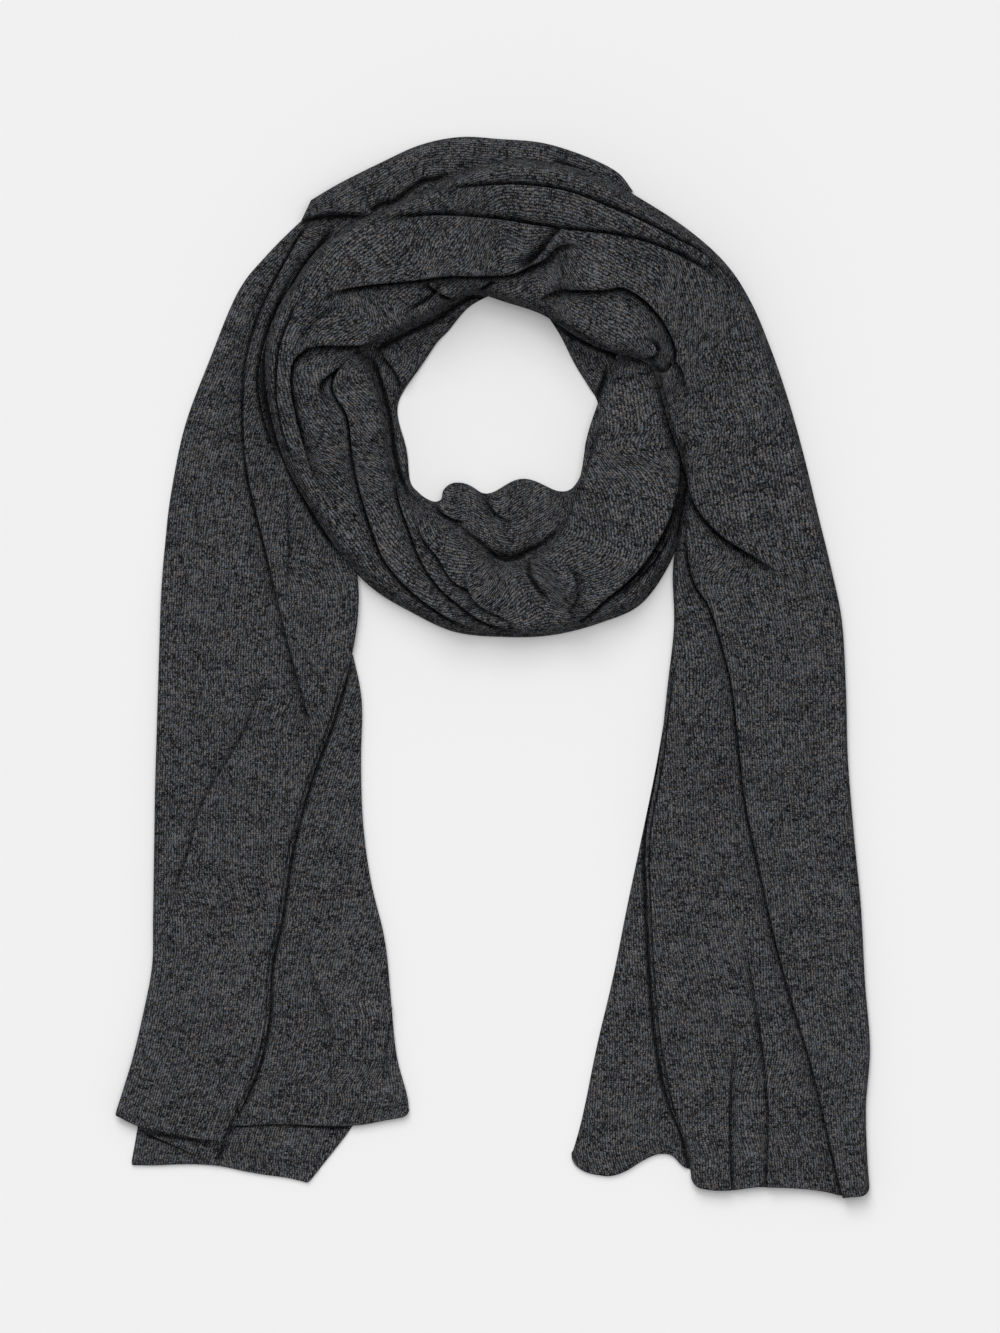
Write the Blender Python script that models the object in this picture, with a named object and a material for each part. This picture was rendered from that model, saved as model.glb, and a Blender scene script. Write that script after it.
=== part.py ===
"""A travel wrap laid flat: one long jersey-knit cloth wound once round into a neck hole, with two tails.

Every stretch of the cloth that shows is one closed solid. It is lofted through sections that run from the
stretch's outer edge to its inner edge. A section's top carries the folds, each a soft step where one ply
laps over the next, and its underside is flat, on the floor or on the stretch below.

Places are read from a photograph taken straight from above, in its pixels, right and down from its top
left corner, and PIXEL turns them into metres. Heights, laps and thicknesses are in millimetres.
"""

import bmesh
import bpy
import numpy as np
from typing import NamedTuple

MM = 0.001

WRAP_SPAN = 0.476               # the laid wrap's width over both tails, in metres
SPAN_IN_PIXELS = 756.0          # the same width in the photograph
PIXEL = WRAP_SPAN / SPAN_IN_PIXELS
MIDDLE = np.array([492.5, 664.88])  # the laid wrap's middle in the photograph

SEAM_GAP = 0.3                  # clear space where one stretch's solid ends and the next begins
EDGE_TUCK = 1.6                 # how far an underside is set in from the stretch's edge
EDGE_BELLY = 0.38               # height of a rolled edge's widest point, as a share of the edge's height
HEM_ROUND = 1.2                 # length over which a hem's end is rounded
HEM_WAVE_REACH = 30.0           # length over which a hem's waves die out up the cloth
COURSE_POINTS = 200             # points at which a fold's course is read
READINGS_PER_ROW = 40           # points at which a path is read between two of its rows

CHARCOAL = (0.052, 0.052, 0.056, 1.0)


class Section(NamedTuple):
    """A section across a stretch: its two ends in the photograph and its heights in millimetres."""

    outer: tuple
    inner: tuple
    crown: float        # height of the top above the floor
    outer_lift: float   # height of the underside at the outer end
    inner_lift: float   # height of the underside at the inner end
    soft: float         # width over which the two edges round off


class Fold(NamedTuple):
    """A fold in the cloth: its course in the photograph and its form in millimetres."""

    course: tuple
    over: int           # 1 where the ply on the course's right lies on top, -1 where the one on its left does
    drop: float         # height of the step
    lap: float          # how far the upper ply's roll hangs over
    roll: float         # half the width of the step
    reach: float        # how far the upper ply takes to sink back
    fades: tuple        # share of the course over which the fold fades in and out


class Stretch(NamedTuple):
    """A stretch of the cloth: its part of a path of sections, its folds and how it is divided."""

    name: str
    path: tuple
    first: int          # row of the path at which the stretch starts
    last: int           # row at which it ends
    folds: tuple
    plies: int          # plies that show in the edges
    step: float         # distance between sections
    across: int         # points across the top
    under: int          # points across the underside
    shelf: tuple        # shares of the width between which the underside climbs to the inner lift
    hem: tuple          # how far the sewn hem runs past its straight line, evenly spaced; empty without a hem


FRONT_PATH = (
    Section((664, 350), (624, 336), 12, 0, 7, 9),
    Section((668, 392), (604, 388), 19, 0, 8, 9),
    Section((677, 440), (588, 432), 22, 0, 8, 9),
    Section((686, 484), (580, 476), 23, 0, 8, 9),
    Section((680, 526), (568, 502), 24, 0, 9, 9),
    Section((667, 562), (561, 525), 25, 0, 9, 9),
    Section((641, 604), (549, 543), 25, 0, 10, 9),
    Section((600, 623), (530, 554), 25, 0, 10, 9),
    Section((553, 635), (514, 561), 25, 0, 10, 9),
    Section((507, 637), (499, 561), 25, 0, 10, 9),
    Section((455, 632), (482, 549), 25, 0, 10, 9),
    Section((409, 611), (462, 531), 25, 0, 10, 9),
    Section((372, 588), (438, 514), 25, 3, 10, 9),
    Section((342, 556), (414, 503), 24, 7.8, 10, 9),
    Section((313, 513), (400, 484), 24, 8.25, 10, 8),
    Section((287, 468), (392, 455), 23, 8.25, 10, 8),
    Section((273, 425), (387, 418), 23, 8.25, 10, 8),
    Section((265, 382), (377, 380), 24, 8.25, 10, 8),
    Section((266, 342), (366, 354), 26, 8.25, 11, 8),
    Section((277, 310), (376, 342), 29, 8.25, 12, 8),
    Section((293, 283), (392, 336), 31, 8.25, 13, 8),
    Section((315, 252), (414, 325), 33, 8.25, 13, 8),
    Section((346, 226), (432, 317), 34, 8.25, 13, 8),
    Section((386, 199), (450, 305), 35, 7.6, 13, 8),
    Section((437, 177), (474, 293), 36, 8, 13, 8),
    Section((492, 161), (503, 302), 37, 8, 13, 8),
    Section((545, 161), (541, 314), 38, 8, 14, 8),
    Section((597, 175), (572, 334), 38, 8, 15, 8),
    Section((643, 200), (604, 350), 37, 4, 17, 8),
    Section((690, 231), (641, 360), 35, 1, 20, 8),
    Section((727, 265), (655, 374), 33, 0, 20, 8),
    Section((752, 304), (663, 402), 30, 0, 18, 8),
    Section((772, 352), (671, 431), 26, 0, 16, 7),
    Section((789, 402), (682, 461), 22, 0, 9, 7),
    Section((804, 456), (688, 490), 18, 0, 2, 6),
    Section((818, 514), (686, 528), 15, 0, 0, 5),
    Section((832, 572), (677, 570), 12, 3, 3, 4),
    Section((842, 622), (674, 625), 10.5, 3.1, 3.1, 3.5),
    Section((846, 690), (667, 690), 9.5, 3.1, 3.1, 3),
    Section((848, 760), (659, 762), 9, 3.1, 3.1, 3),
    Section((854, 835), (646, 838), 8.6, 3.1, 3.1, 3),
    Section((861, 908), (648, 912), 8.3, 3.1, 3.1, 3),
    Section((865, 982), (652, 985), 8, 3.1, 3.1, 3),
    Section((870, 1048), (658, 1045), 7.8, 3.1, 3.1, 3),
    Section((866, 1104), (669, 1102), 7.6, 3.1, 3.1, 3),
    Section((867, 1152), (687, 1148), 7.6, 3.1, 3.1, 3),
    Section((870, 1193), (695, 1187), 7.6, 3.1, 3.1, 3),
)

TAIL_RIGHT_BACK_PATH = (
    Section((826, 606), (683, 606), 2.8, 0, 0, 1.4),
    Section((838, 690), (669, 690), 2.8, 0, 0, 1.4),
    Section((841, 760), (657, 762), 2.8, 0, 0, 1.4),
    Section((846, 836), (642, 836), 2.8, 0, 0, 1.4),
    Section((853, 907), (627, 907), 2.8, 0, 0, 1.4),
    Section((857, 978), (613, 978), 2.8, 0, 0, 1.4),
    Section((862, 1045), (597, 1045), 2.8, 0, 0, 1.4),
    Section((858, 1116), (583, 1114), 2.8, 0, 0, 1.4),
    Section((855, 1172), (571, 1157), 2.8, 0, 0, 1.4),
)

LOOP_BACK_PATH = (
    Section((458, 250), (502, 290), 7, 0, 0, 4),
    Section((418, 280), (470, 308), 7, 0, 0, 4),
    Section((376, 310), (448, 331), 7, 0, 0, 4),
    Section((356, 340), (424, 363), 7, 0, 0, 4),
    Section((352, 378), (402, 393), 7, 0, 0, 4),
    Section((353, 415), (396, 410), 7, 0, 0, 4),
    Section((360, 455), (407, 449), 7, 0, 0, 4),
    Section((378, 500), (410, 484), 7, 0, 0, 4),
    Section((404, 532), (426, 498), 7.4, 0, 0, 4),
    Section((438, 560), (447, 487), 8, 0, 0, 4),
    Section((470, 580), (469, 487), 8, 0, 0, 4),
    Section((500, 588), (493, 495), 8, 0, 0, 4),
    Section((532, 580), (523, 480), 8, 0, 0, 4),
    Section((568, 562), (556, 492), 7.6, 0, 0, 4),
    Section((600, 540), (574, 486), 7, 0, 0, 4),
    Section((620, 500), (583, 468), 6.4, 0, 0, 4),
    Section((628, 450), (586, 442), 6, 0, 0, 4),
    Section((634, 408), (599, 407), 6, 0, 0, 4),
    Section((628, 372), (589, 386), 5.6, 0, 0, 4),
    Section((612, 342), (575, 364), 5, 0, 0, 4),
    Section((598, 318), (563, 338), 5, 0, 0, 4),
    Section((576, 284), (544, 310), 5, 0, 0, 4),
)

BAND_TOP_PATH = (
    Section((311, 200), (301, 221), 15, 7.5, 7.5, 4),
    Section((340, 183), (333, 214), 17, 7.5, 7.5, 5),
    Section((380, 163), (377, 206), 16, 3, 4, 7),
    Section((420, 145), (410, 189), 14, 0, 0, 7),
    Section((460, 137), (452, 173), 9.4, 0, 0, 6),
    Section((500, 139), (499, 174), 7, 0, 0, 4),
    Section((543, 143), (543, 176), 7, 0, 0, 4),
    Section((585, 156), (578, 186), 6, 0, 0, 4),
    Section((617, 172), (606, 196), 4, 0, 0, 3),
    Section((633, 191), (620, 206), 3, 0, 0, 2),
)

TAIL_LEFT_FRONT_PATH = (
    Section((337, 189), (364, 220), 5, 0, 0, 2.4),
    Section((318, 208), (350, 234), 5, 0, 0, 2.4),
    Section((300, 222), (342, 254), 5, 0, 0, 2.4),
    Section((266, 256), (318, 286), 5, 0, 0, 2.4),
    Section((238, 292), (302, 322), 5, 0, 0, 2.4),
    Section((210, 359), (297, 376), 5, 0, 0, 2.4),
    Section((185, 426), (306, 444), 5, 0, 0, 2.4),
    Section((171, 494), (330, 508), 5, 0, 0, 2.4),
    Section((165, 545), (352, 552), 5.4, 0, 0, 2.4),
    Section((161, 596), (359, 598), 7, 3, 5.2, 2.4),
    Section((159, 655), (352, 655), 7.8, 3, 5.2, 2.2),
    Section((157, 720), (333, 720), 7.8, 3, 5.2, 2.2),
    Section((155, 790), (308, 788), 7.8, 3, 5.2, 2.2),
    Section((154, 853), (291, 853), 7.8, 3, 5.2, 2.2),
    Section((153, 918), (281, 920), 7.8, 3, 5.2, 2.2),
    Section((152, 966), (271, 966), 7.8, 3, 5.2, 2.2),
    Section((143, 1014), (268, 1022), 7.8, 3.2, 5.2, 2.2),
    Section((132, 1060), (255, 1076), 7.8, 4.6, 5.2, 2.0),
    Section((115, 1115), (223, 1147), 7.8, 4.7, 5.2, 1.8),
)

TAIL_LEFT_INNER_PATH = (
    Section((340, 655), (353, 655), 4.7, 2.5, 2.5, 1.2),
    Section((318, 700), (362, 700), 4.7, 2.5, 2.5, 1.2),
    Section((296, 760), (361, 760), 4.7, 2.5, 2.5, 1.2),
    Section((278, 822), (363, 822), 4.7, 2.5, 2.5, 1.2),
    Section((266, 882), (371, 882), 4.7, 2.5, 2.5, 1.2),
    Section((256, 940), (385, 940), 4.7, 2.5, 2.5, 1.2),
    Section((249, 1000), (391, 1000), 4.7, 2.5, 2.5, 1.2),
    Section((240, 1056), (397, 1056), 4.7, 2.5, 2.5, 1.2),
    Section((233, 1096), (408, 1094), 4.7, 2.5, 2.5, 1.2),
    Section((224, 1130), (409, 1112), 4.7, 2.5, 2.5, 1.2),
)

TAIL_LEFT_UNDER_PATH = (
    Section((170, 622), (350, 622), 2.2, 0, 0, 1.2),
    Section((164, 720), (354, 720), 2.2, 0, 0, 1.2),
    Section((162, 810), (354, 810), 2.2, 0, 0, 1.2),
    Section((162, 900), (366, 900), 2.2, 0, 0, 1.2),
    Section((158, 980), (382, 980), 2.2, 0, 0, 1.2),
    Section((147, 1050), (388, 1050), 2.2, 0, 0, 1.2),
    Section((139, 1118), (362, 1112), 2.2, 0, 0, 1.2),
    Section((131, 1165), (309, 1182), 2.2, 0, 0, 1.2),
)

TAIL_LEFT_MIDDLE_PATH = (
    Section((158, 1070), (222, 1088), 4.1, 2.5, 2.5, 1.0),
    Section((149, 1098), (219, 1122), 4.1, 2.5, 2.5, 1.0),
    Section((139, 1130), (217, 1165), 4.1, 2.5, 2.5, 1.0),
)

LOOP_FOLDS = (
    Fold(((692, 436), (680, 470), (672, 503), (655, 542), (634, 580), (602, 606), (557, 633)),
         1, 4.5, 0.4, 2.4, 18, (0.15, 0.25)),
    Fold(((604, 410), (590, 466), (574, 505), (560, 532), (535, 560)), -1, 3, 0.2, 2.6, 16, (0.3, 0.3)),
    Fold(((573, 575), (577, 590), (575, 606), (566, 625)), 1, 2.2, 0.0, 2.6, 8, (0.4, 0.4)),
    Fold(((530, 558), (541, 580), (548, 600)), -1, 1.8, 0.0, 2.6, 8, (0.3, 0.5)),
    Fold(((565, 634), (507, 631), (471, 616), (439, 587), (421, 560), (409, 538), (402, 508)),
         1, 5, 0.4, 2.4, 13, (0.3, 0.15)),
    Fold(((521, 628), (493, 612), (466, 590), (441, 574), (423, 538), (413, 510)), 1, 3, 0.2, 2.2, 10, (0.35, 0.2)),
    Fold(((479, 633), (425, 599), (383, 556), (361, 505), (350, 447), (340, 401), (329, 375)),
         1, 6, 0.6, 2.4, 20, (0.25, 0.15)),
    Fold(((409, 530), (396, 487), (388, 433), (375, 375), (361, 355)), 1, 2.6, 0.0, 2.6, 10, (0.3, 0.2)),
    Fold(((351, 529), (327, 495), (300, 447), (289, 401), (292, 366), (308, 350), (340, 347), (374, 343)),
         -1, 6, 0.6, 2.4, 12, (0.5, 0.15)),
    Fold(((296, 484), (280, 424), (274, 398), (283, 359), (296, 334), (310, 318)), 1, 3.5, 0.4, 2.2, 10, (0.2, 0.3)),
)

CROSS_FOLDS = (
    Fold(((420, 222), (470, 190), (537, 186), (603, 203), (680, 240), (727, 277), (770, 330)),
         1, 5, 0.6, 2.4, 24, (0.2, 0.25)),
    Fold(((360, 232), (397, 220), (443, 217), (523, 225), (620, 240), (690, 263), (730, 290)),
         1, 3.5, 0.2, 2.8, 20, (0.2, 0.3)),
    Fold(((316, 292), (353, 287), (417, 280), (503, 275), (537, 266), (552, 250), (562, 236)),
         -1, 6, 0.4, 2.8, 18, (0.15, 0.25)),
    Fold(((380, 332), (420, 308), (462, 290)), -1, 3, 0.0, 2.6, 12, (0.3, 0.3)),
    Fold(((534, 304), (554, 294), (600, 291), (634, 294), (658, 314), (676, 352), (680, 385)),
         -1, 6, 0.4, 2.8, 18, (0.2, 0.3)),
)

TAIL_RIGHT_FOLDS = (
    Fold(((679, 452), (686, 479), (697, 508), (721, 535), (757, 559), (788, 582)), -1, 5.5, 0.4, 2.6, 26, (0.2, 0.35)),
    Fold(((684, 520), (686, 572), (710, 608), (732, 686), (746, 804), (777, 946), (812, 1067), (850, 1225)),
         -1, 3.2, 0.6, 1.9, 36, (0.12, 0.0)),
    Fold(((733, 889), (752, 978), (765, 1062), (769, 1130), (766, 1230)), -1, 1.6, 0.2, 1.9, 24, (0.4, 0.0)),
    Fold(((734, 1042), (729, 1101), (729, 1150), (733, 1230)), 1, 1.8, 0.2, 1.9, 20, (0.3, 0.0)),
)

BAND_TOP_FOLDS = (
    Fold(((345, 200), (385, 178), (425, 164), (455, 157)), 1, 2, 0.0, 3.0, 12, (0.4, 0.4)),
)

TAIL_LEFT_FOLDS = (
    Fold(((312, 219), (291, 253), (262, 310), (246, 370), (246, 460), (266, 550), (289, 645), (312, 731)),
         -1, 2.6, 0.4, 1.9, 22, (0.05, 0.25)),
    Fold(((300, 268), (282, 300), (266, 340), (259, 382), (268, 430), (290, 474)), -1, 2.0, 0.2, 1.9, 12, (0.2, 0.25)),
    Fold(((286, 470), (287, 530), (287, 587), (284, 602)), 1, 1.2, 0.0, 2.0, 12, (0.4, 0.4)),
)

TAIL_LEFT_INNER_FOLDS = (
    Fold(((316, 905), (311, 960), (331, 1022), (340, 1066)), -1, 0.9, 0.0, 2.4, 16, (0.4, 0.4)),
    Fold(((391, 992), (388, 1041), (381, 1068)), 1, 0.9, 0.0, 1.8, 10, (0.2, 0.5)),
)

LOOP_BACK_FOLDS = (
    Fold(((372, 346), (392, 366), (404, 392), (402, 424)), -1, 2, 0, 2.4, 8, (0.3, 0.3)),
    Fold(((448, 560), (452, 530), (462, 505)), -1, 2, 0, 2.4, 8, (0.3, 0.3)),
)

STRETCHES = (
    Stretch("tail_left_under", TAIL_LEFT_UNDER_PATH, 0, 7, (), 1, 26, 9, 3, (0.0, 1.0),
            (0.0, 0.0, 0.0, 0.0)),
    Stretch("tail_left_middle", TAIL_LEFT_MIDDLE_PATH, 0, 2, (), 1, 14, 9, 3, (0.0, 1.0),
            (0.0, 0.0, 0.0, 0.0)),
    Stretch("tail_left_inner", TAIL_LEFT_INNER_PATH, 0, 9, TAIL_LEFT_INNER_FOLDS, 1, 16, 17, 3, (0.0, 1.0),
            (0.0, 2.0, 6.0, 8.0, 0.0)),
    Stretch("tail_left_front", TAIL_LEFT_FRONT_PATH, 0, 18, TAIL_LEFT_FOLDS, 2, 13, 25, 7, (0.5, 0.75),
            (0.0, 4.0, 6.0, 2.0, 0.0)),
    Stretch("tail_right_back", TAIL_RIGHT_BACK_PATH, 0, 8, (), 2, 22, 15, 3, (0.0, 1.0),
            (0.0, 0.0, 0.0, 0.0, 0.0, 0.0, 0.0, -8.0, 4.0, 14.0, 0.0)),
    Stretch("loop_back", LOOP_BACK_PATH, 0, 21, LOOP_BACK_FOLDS, 2, 15, 15, 3, (0.0, 1.0), ()),
    Stretch("band_top", BAND_TOP_PATH, 0, 9, BAND_TOP_FOLDS, 3, 12, 17, 5, (0.0, 1.0), ()),
    Stretch("loop_front", FRONT_PATH, 0, 19, LOOP_FOLDS + CROSS_FOLDS[2:4], 3, 8.4, 33, 7, (0.22, 0.46), ()),
    Stretch("cross_front", FRONT_PATH, 19, 32, LOOP_FOLDS[8:] + CROSS_FOLDS, 3, 7.8, 33, 7, (0.22, 0.6), ()),
    Stretch("tail_right_front", FRONT_PATH, 32, 46, CROSS_FOLDS + TAIL_RIGHT_FOLDS, 3, 12, 31, 7, (0.22, 0.6),
            (0.0, -2.0, -3.0, 0.0, 0.0)),
)


def in_millimetres(place):
    """The millimetres, right and up from the wrap's middle, of places given in photograph pixels."""
    from_middle = (np.asarray(place, float) - MIDDLE) * PIXEL / MM
    return from_middle * np.array([1.0, -1.0])


def smooth_step(t):
    """Climbs from 0 to 1 as t does, level at both ends."""
    t = np.clip(t, 0.0, 1.0)
    return t * t * (3.0 - 2.0 * t)


def through_rows(rows, at):
    """A smooth curve through evenly spaced rows of values, read at the given row numbers."""
    slopes = np.gradient(rows, axis=0)
    first = np.clip(at.astype(int), 0, len(rows) - 2)
    t = (at - first)[:, None]
    start, end = rows[first], rows[first + 1]
    leave, arrive = slopes[first], slopes[first + 1]
    return (start * (1 + 2 * t) * (1 - t) ** 2 + leave * t * (1 - t) ** 2
            + end * t * t * (3 - 2 * t) + arrive * t * t * (t - 1))


def stations(stretch):
    """Evenly spaced sections along a stretch, and how far each is from the stretch's end."""
    rows = np.array([[*in_millimetres(s.outer), *in_millimetres(s.inner), *s[2:]] for s in stretch.path])
    at_rows = np.linspace(stretch.first, stretch.last, READINGS_PER_ROW * (stretch.last - stretch.first) + 1)
    fine = through_rows(rows, at_rows)
    fine[:, 5:7] = np.maximum(fine[:, 5:7], 0.0)
    middle = (fine[:, 0:2] + fine[:, 2:4]) / 2
    run = np.concatenate([[0.0], np.cumsum(np.linalg.norm(np.diff(middle, axis=0), axis=1))])
    start = SEAM_GAP if stretch.first > 0 else 0.0
    at = np.linspace(start, run[-1], int(round(run[-1] / stretch.step)) + 1)
    if stretch.hem:
        at = np.append(at[:-1], [run[-1] - HEM_ROUND, run[-1]])
    return np.stack([np.interp(at, run, column) for column in fine.T], axis=1), run[-1] - at


def beside_fold(fold, plan):
    """How far each point is to the upper side of a fold's course, the way to that side, and the fold's strength."""
    rows = in_millimetres(fold.course)
    line = through_rows(rows, np.linspace(0, len(rows) - 1, COURSE_POINTS))
    ahead = np.gradient(line, axis=0)
    pace = np.linalg.norm(ahead, axis=1, keepdims=True)
    ahead /= pace
    points = plan.reshape(-1, 2)
    nearest = ((points[:, None] - line[None]) ** 2).sum(axis=2).argmin(axis=1)
    from_line = points - line[nearest]
    up_side = fold.over * np.stack([ahead[nearest, 1], -ahead[nearest, 0]], axis=1)
    beside = (from_line * up_side).sum(axis=1)
    along = (from_line * ahead[nearest]).sum(axis=1) / pace[nearest, 0]
    share = (nearest + along) / (COURSE_POINTS - 1)
    fade_in, fade_out = np.maximum(fold.fades, 1e-6)
    strength = smooth_step(share / fade_in) * smooth_step((1 - share) / fade_out)
    shape = plan.shape[:-1]
    return beside.reshape(shape), up_side.reshape(*shape, 2), strength.reshape(shape)


def across_to_plan(ends, across):
    """The places in plan of points at the given distances from each section's outer end."""
    outer, inner = ends[:, 0:2], ends[:, 2:4]
    width = np.linalg.norm(inner - outer, axis=1)
    return outer[:, None] + ((inner - outer) / width[:, None])[:, None] * across[..., None]


def spread_points(stretch, ends, width):
    """Points across each section, closer together at the folds and the edges."""
    across = np.linspace(0.0, 1.0, 160)[None] * width[:, None]
    density = 1.0 + 4.0 * np.exp(-across / 2.5) + 4.0 * np.exp(-(width[:, None] - across) / 2.5)
    plan = across_to_plan(ends, across)
    for fold in stretch.folds:
        beside, _, strength = beside_fold(fold, plan)
        density += 7.0 * strength * np.exp(-(beside / (2.0 * fold.roll)) ** 2)
    total = np.cumsum(density, axis=1)
    total = (total - total[:, :1]) / (total[:, -1:] - total[:, :1])
    return np.stack([np.interp(np.linspace(0, 1, stretch.across), t, a) for t, a in zip(total, across)])


def edge_height(distance, soft, plies):
    """The share of the full height at a distance from an edge: one rounded ply stands on the next."""
    setback = 0.25 * soft
    steps = [np.clip((distance - k * setback) / soft, 0.0, 1.0) for k in range(plies)]
    return sum(np.sqrt(1.0 - (1.0 - s) ** 2) for s in steps) / plies


def folded_top(stretch, ends, width):
    """The top of each section: its points' places in plan and their heights."""
    crown, outer_lift, inner_lift, soft = (ends[:, i:i + 1] for i in range(4, 8))
    across = spread_points(stretch, ends, width)
    share = across / width[:, None]
    soft = np.minimum(soft, 0.3 * width[:, None])
    edges = edge_height(across, soft, stretch.plies) * edge_height(width[:, None] - across, soft, stretch.plies)
    base = outer_lift + (inner_lift - outer_lift) * share
    base = base + EDGE_BELLY * np.minimum(crown - base, 4.0)
    plan, height = across_to_plan(ends, across), base + (crown - base) * edges
    flat_plan = plan.copy()
    for fold in stretch.folds:
        beside, up_side, strength = beside_fold(fold, flat_plan)
        strength = strength * edges
        turn = (beside - 0.5 * fold.lap * strength) / fold.roll
        climb = smooth_step((turn + 1.3) / 2.6) * np.exp(-np.maximum(turn, 0.0) * fold.roll / fold.reach)
        height = height + strength * fold.drop * (climb - 0.4 * np.exp(-((turn + 1.2) / 2.2) ** 2))
        shift = (fold.lap + 2.0 * fold.roll) * 0.5 * turn * np.exp((1.0 - turn ** 2) / 2)
        plan -= (strength * shift)[..., None] * up_side
    return plan, height, across


def underside(stretch, ends, width):
    """The underside of each section, from its inner end back to its outer end."""
    share = np.linspace(1.0, 0.0, stretch.under)[None]
    across = EDGE_TUCK + share * (width[:, None] - 2 * EDGE_TUCK)
    start, end = stretch.shelf
    climb = smooth_step((across / width[:, None] - start) / (end - start))
    height = ends[:, 5:6] + (ends[:, 6:7] - ends[:, 5:6]) * climb
    return across_to_plan(ends, across), height, across


def hem_wave(stretch, ends, share, to_end):
    """How each point is moved along the stretch so that its last hem runs in the hem's waves."""
    waves = np.array(stretch.hem)[:, None] * PIXEL / MM
    past = through_rows(waves, np.clip(share.ravel(), 0, 1) * (len(waves) - 1)).reshape(share.shape)
    middle = (ends[:, 0:2] + ends[:, 2:4]) / 2
    onward = (middle[-1] - middle[-3]) / np.linalg.norm(middle[-1] - middle[-3])
    return (past * np.exp(-to_end / HEM_WAVE_REACH)[:, None])[..., None] * onward


def section_loops(stretch):
    """The closed section at every station, as points in metres."""
    ends, to_end = stations(stretch)
    width = np.linalg.norm(ends[:, 2:4] - ends[:, 0:2], axis=1)
    top, height, over = folded_top(stretch, ends, width)
    bottom, floor, under = underside(stretch, ends, width)
    plan = np.concatenate([top, bottom], axis=1)
    if stretch.hem:
        low = floor.mean(axis=1, keepdims=True)
        thin = 0.45 + 0.55 * np.sqrt(1 - (1 - np.clip(to_end / HEM_ROUND, 0, 1)) ** 2)[:, None]
        height = low + (height - low) * thin
        share = np.concatenate([over, under], axis=1) / width[:, None]
        plan = plan + hem_wave(stretch, ends, share, to_end)
    up = np.concatenate([height, floor], axis=1)
    return np.concatenate([plan, up[..., None]], axis=2) * MM


def loft(name, loops, material):
    """A closed solid through loops that have the same number of points."""
    stations_count, points_count = loops.shape[:2]
    shape = bmesh.new()
    points = [shape.verts.new(p) for p in loops.reshape(-1, 3)]
    for row in range(stations_count - 1):
        for column in range(points_count):
            after = (column + 1) % points_count
            low, high = row * points_count, (row + 1) * points_count
            shape.faces.new((points[low + column], points[low + after], points[high + after], points[high + column]))
    for end in (points[:points_count][::-1], points[-points_count:]):
        for edge in shape.faces.new(end).edges:
            edge.smooth = False
    bmesh.ops.triangulate(shape, faces=shape.faces)
    if shape.calc_volume(signed=True) < 0:
        bmesh.ops.reverse_faces(shape, faces=shape.faces)
    mesh = bpy.data.meshes.new(name)
    shape.to_mesh(mesh)
    shape.free()
    mesh.materials.append(material)
    mesh.shade_smooth()
    return bpy.data.objects.new(name, mesh)


def jersey(name):
    """The stretch's cloth: charcoal melange jersey, matt."""
    material = bpy.data.materials.new(name + "_jersey")
    material.use_nodes = True
    surface = material.node_tree.nodes["Principled BSDF"]
    surface.inputs["Base Color"].default_value = CHARCOAL
    surface.inputs["Roughness"].default_value = 0.95
    surface.inputs["Metallic"].default_value = 0.0
    return material


def build():
    """Clears the scene and makes every stretch of the wrap."""
    for old in list(bpy.data.objects):
        bpy.data.objects.remove(old, do_unlink=True)
    wrap = bpy.data.collections.new("travel_wrap")
    bpy.context.scene.collection.children.link(wrap)
    for stretch in STRETCHES:
        wrap.objects.link(loft(stretch.name, section_loops(stretch), jersey(stretch.name)))


build()
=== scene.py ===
"""The looks of a travel wrap laid flat: one jersey-knit cloth wound once round into a neck hole, with two tails.

Each stretch of the cloth is one closed skin on its CAD solid's form, at a much finer pitch. Its top carries the
folds, each a soft roll of the upper ply over the lower one, with the smaller ridges, troughs and rumples between
them. Its ends are hems with their plies. The knit is drawn by the material from the cloth's own UV map, in metres,
with painted shade in each fold's crease and in slits, and painted light and shade on the stitches' rounding.

Places are read from a photograph taken straight from above, in its pixels, right and down from its top left
corner, and PIXEL turns them into metres. Heights, laps and thicknesses are in millimetres.
"""

import logging
import math
from dataclasses import dataclass
from enum import Enum

import bpy
import numpy as np
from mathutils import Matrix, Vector


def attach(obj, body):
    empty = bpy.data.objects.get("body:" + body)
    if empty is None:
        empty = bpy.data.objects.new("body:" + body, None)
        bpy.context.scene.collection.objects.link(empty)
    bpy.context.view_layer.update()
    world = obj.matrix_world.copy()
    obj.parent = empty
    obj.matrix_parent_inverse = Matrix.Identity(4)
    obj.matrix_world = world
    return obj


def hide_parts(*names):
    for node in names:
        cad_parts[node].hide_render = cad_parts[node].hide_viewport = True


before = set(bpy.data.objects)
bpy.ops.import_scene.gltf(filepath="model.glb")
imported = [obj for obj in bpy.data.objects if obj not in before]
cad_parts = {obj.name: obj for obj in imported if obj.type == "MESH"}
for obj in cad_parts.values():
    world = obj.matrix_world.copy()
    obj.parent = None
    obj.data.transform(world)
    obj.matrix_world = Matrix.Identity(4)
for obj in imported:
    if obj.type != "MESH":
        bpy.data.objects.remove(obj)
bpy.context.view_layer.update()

LOG = logging.getLogger("travel_wrap")

MM = 0.001
WRAP_SPAN = 0.476               # the laid wrap's width over both tails, in metres
SPAN_IN_PIXELS = 756.0          # the same width in the photograph
PIXEL = WRAP_SPAN / SPAN_IN_PIXELS
MIDDLE = np.array([492.5, 664.88])  # the laid wrap's middle in the photograph
PHOTO_SIZE = np.array([1000.0, 1333.0])

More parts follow.
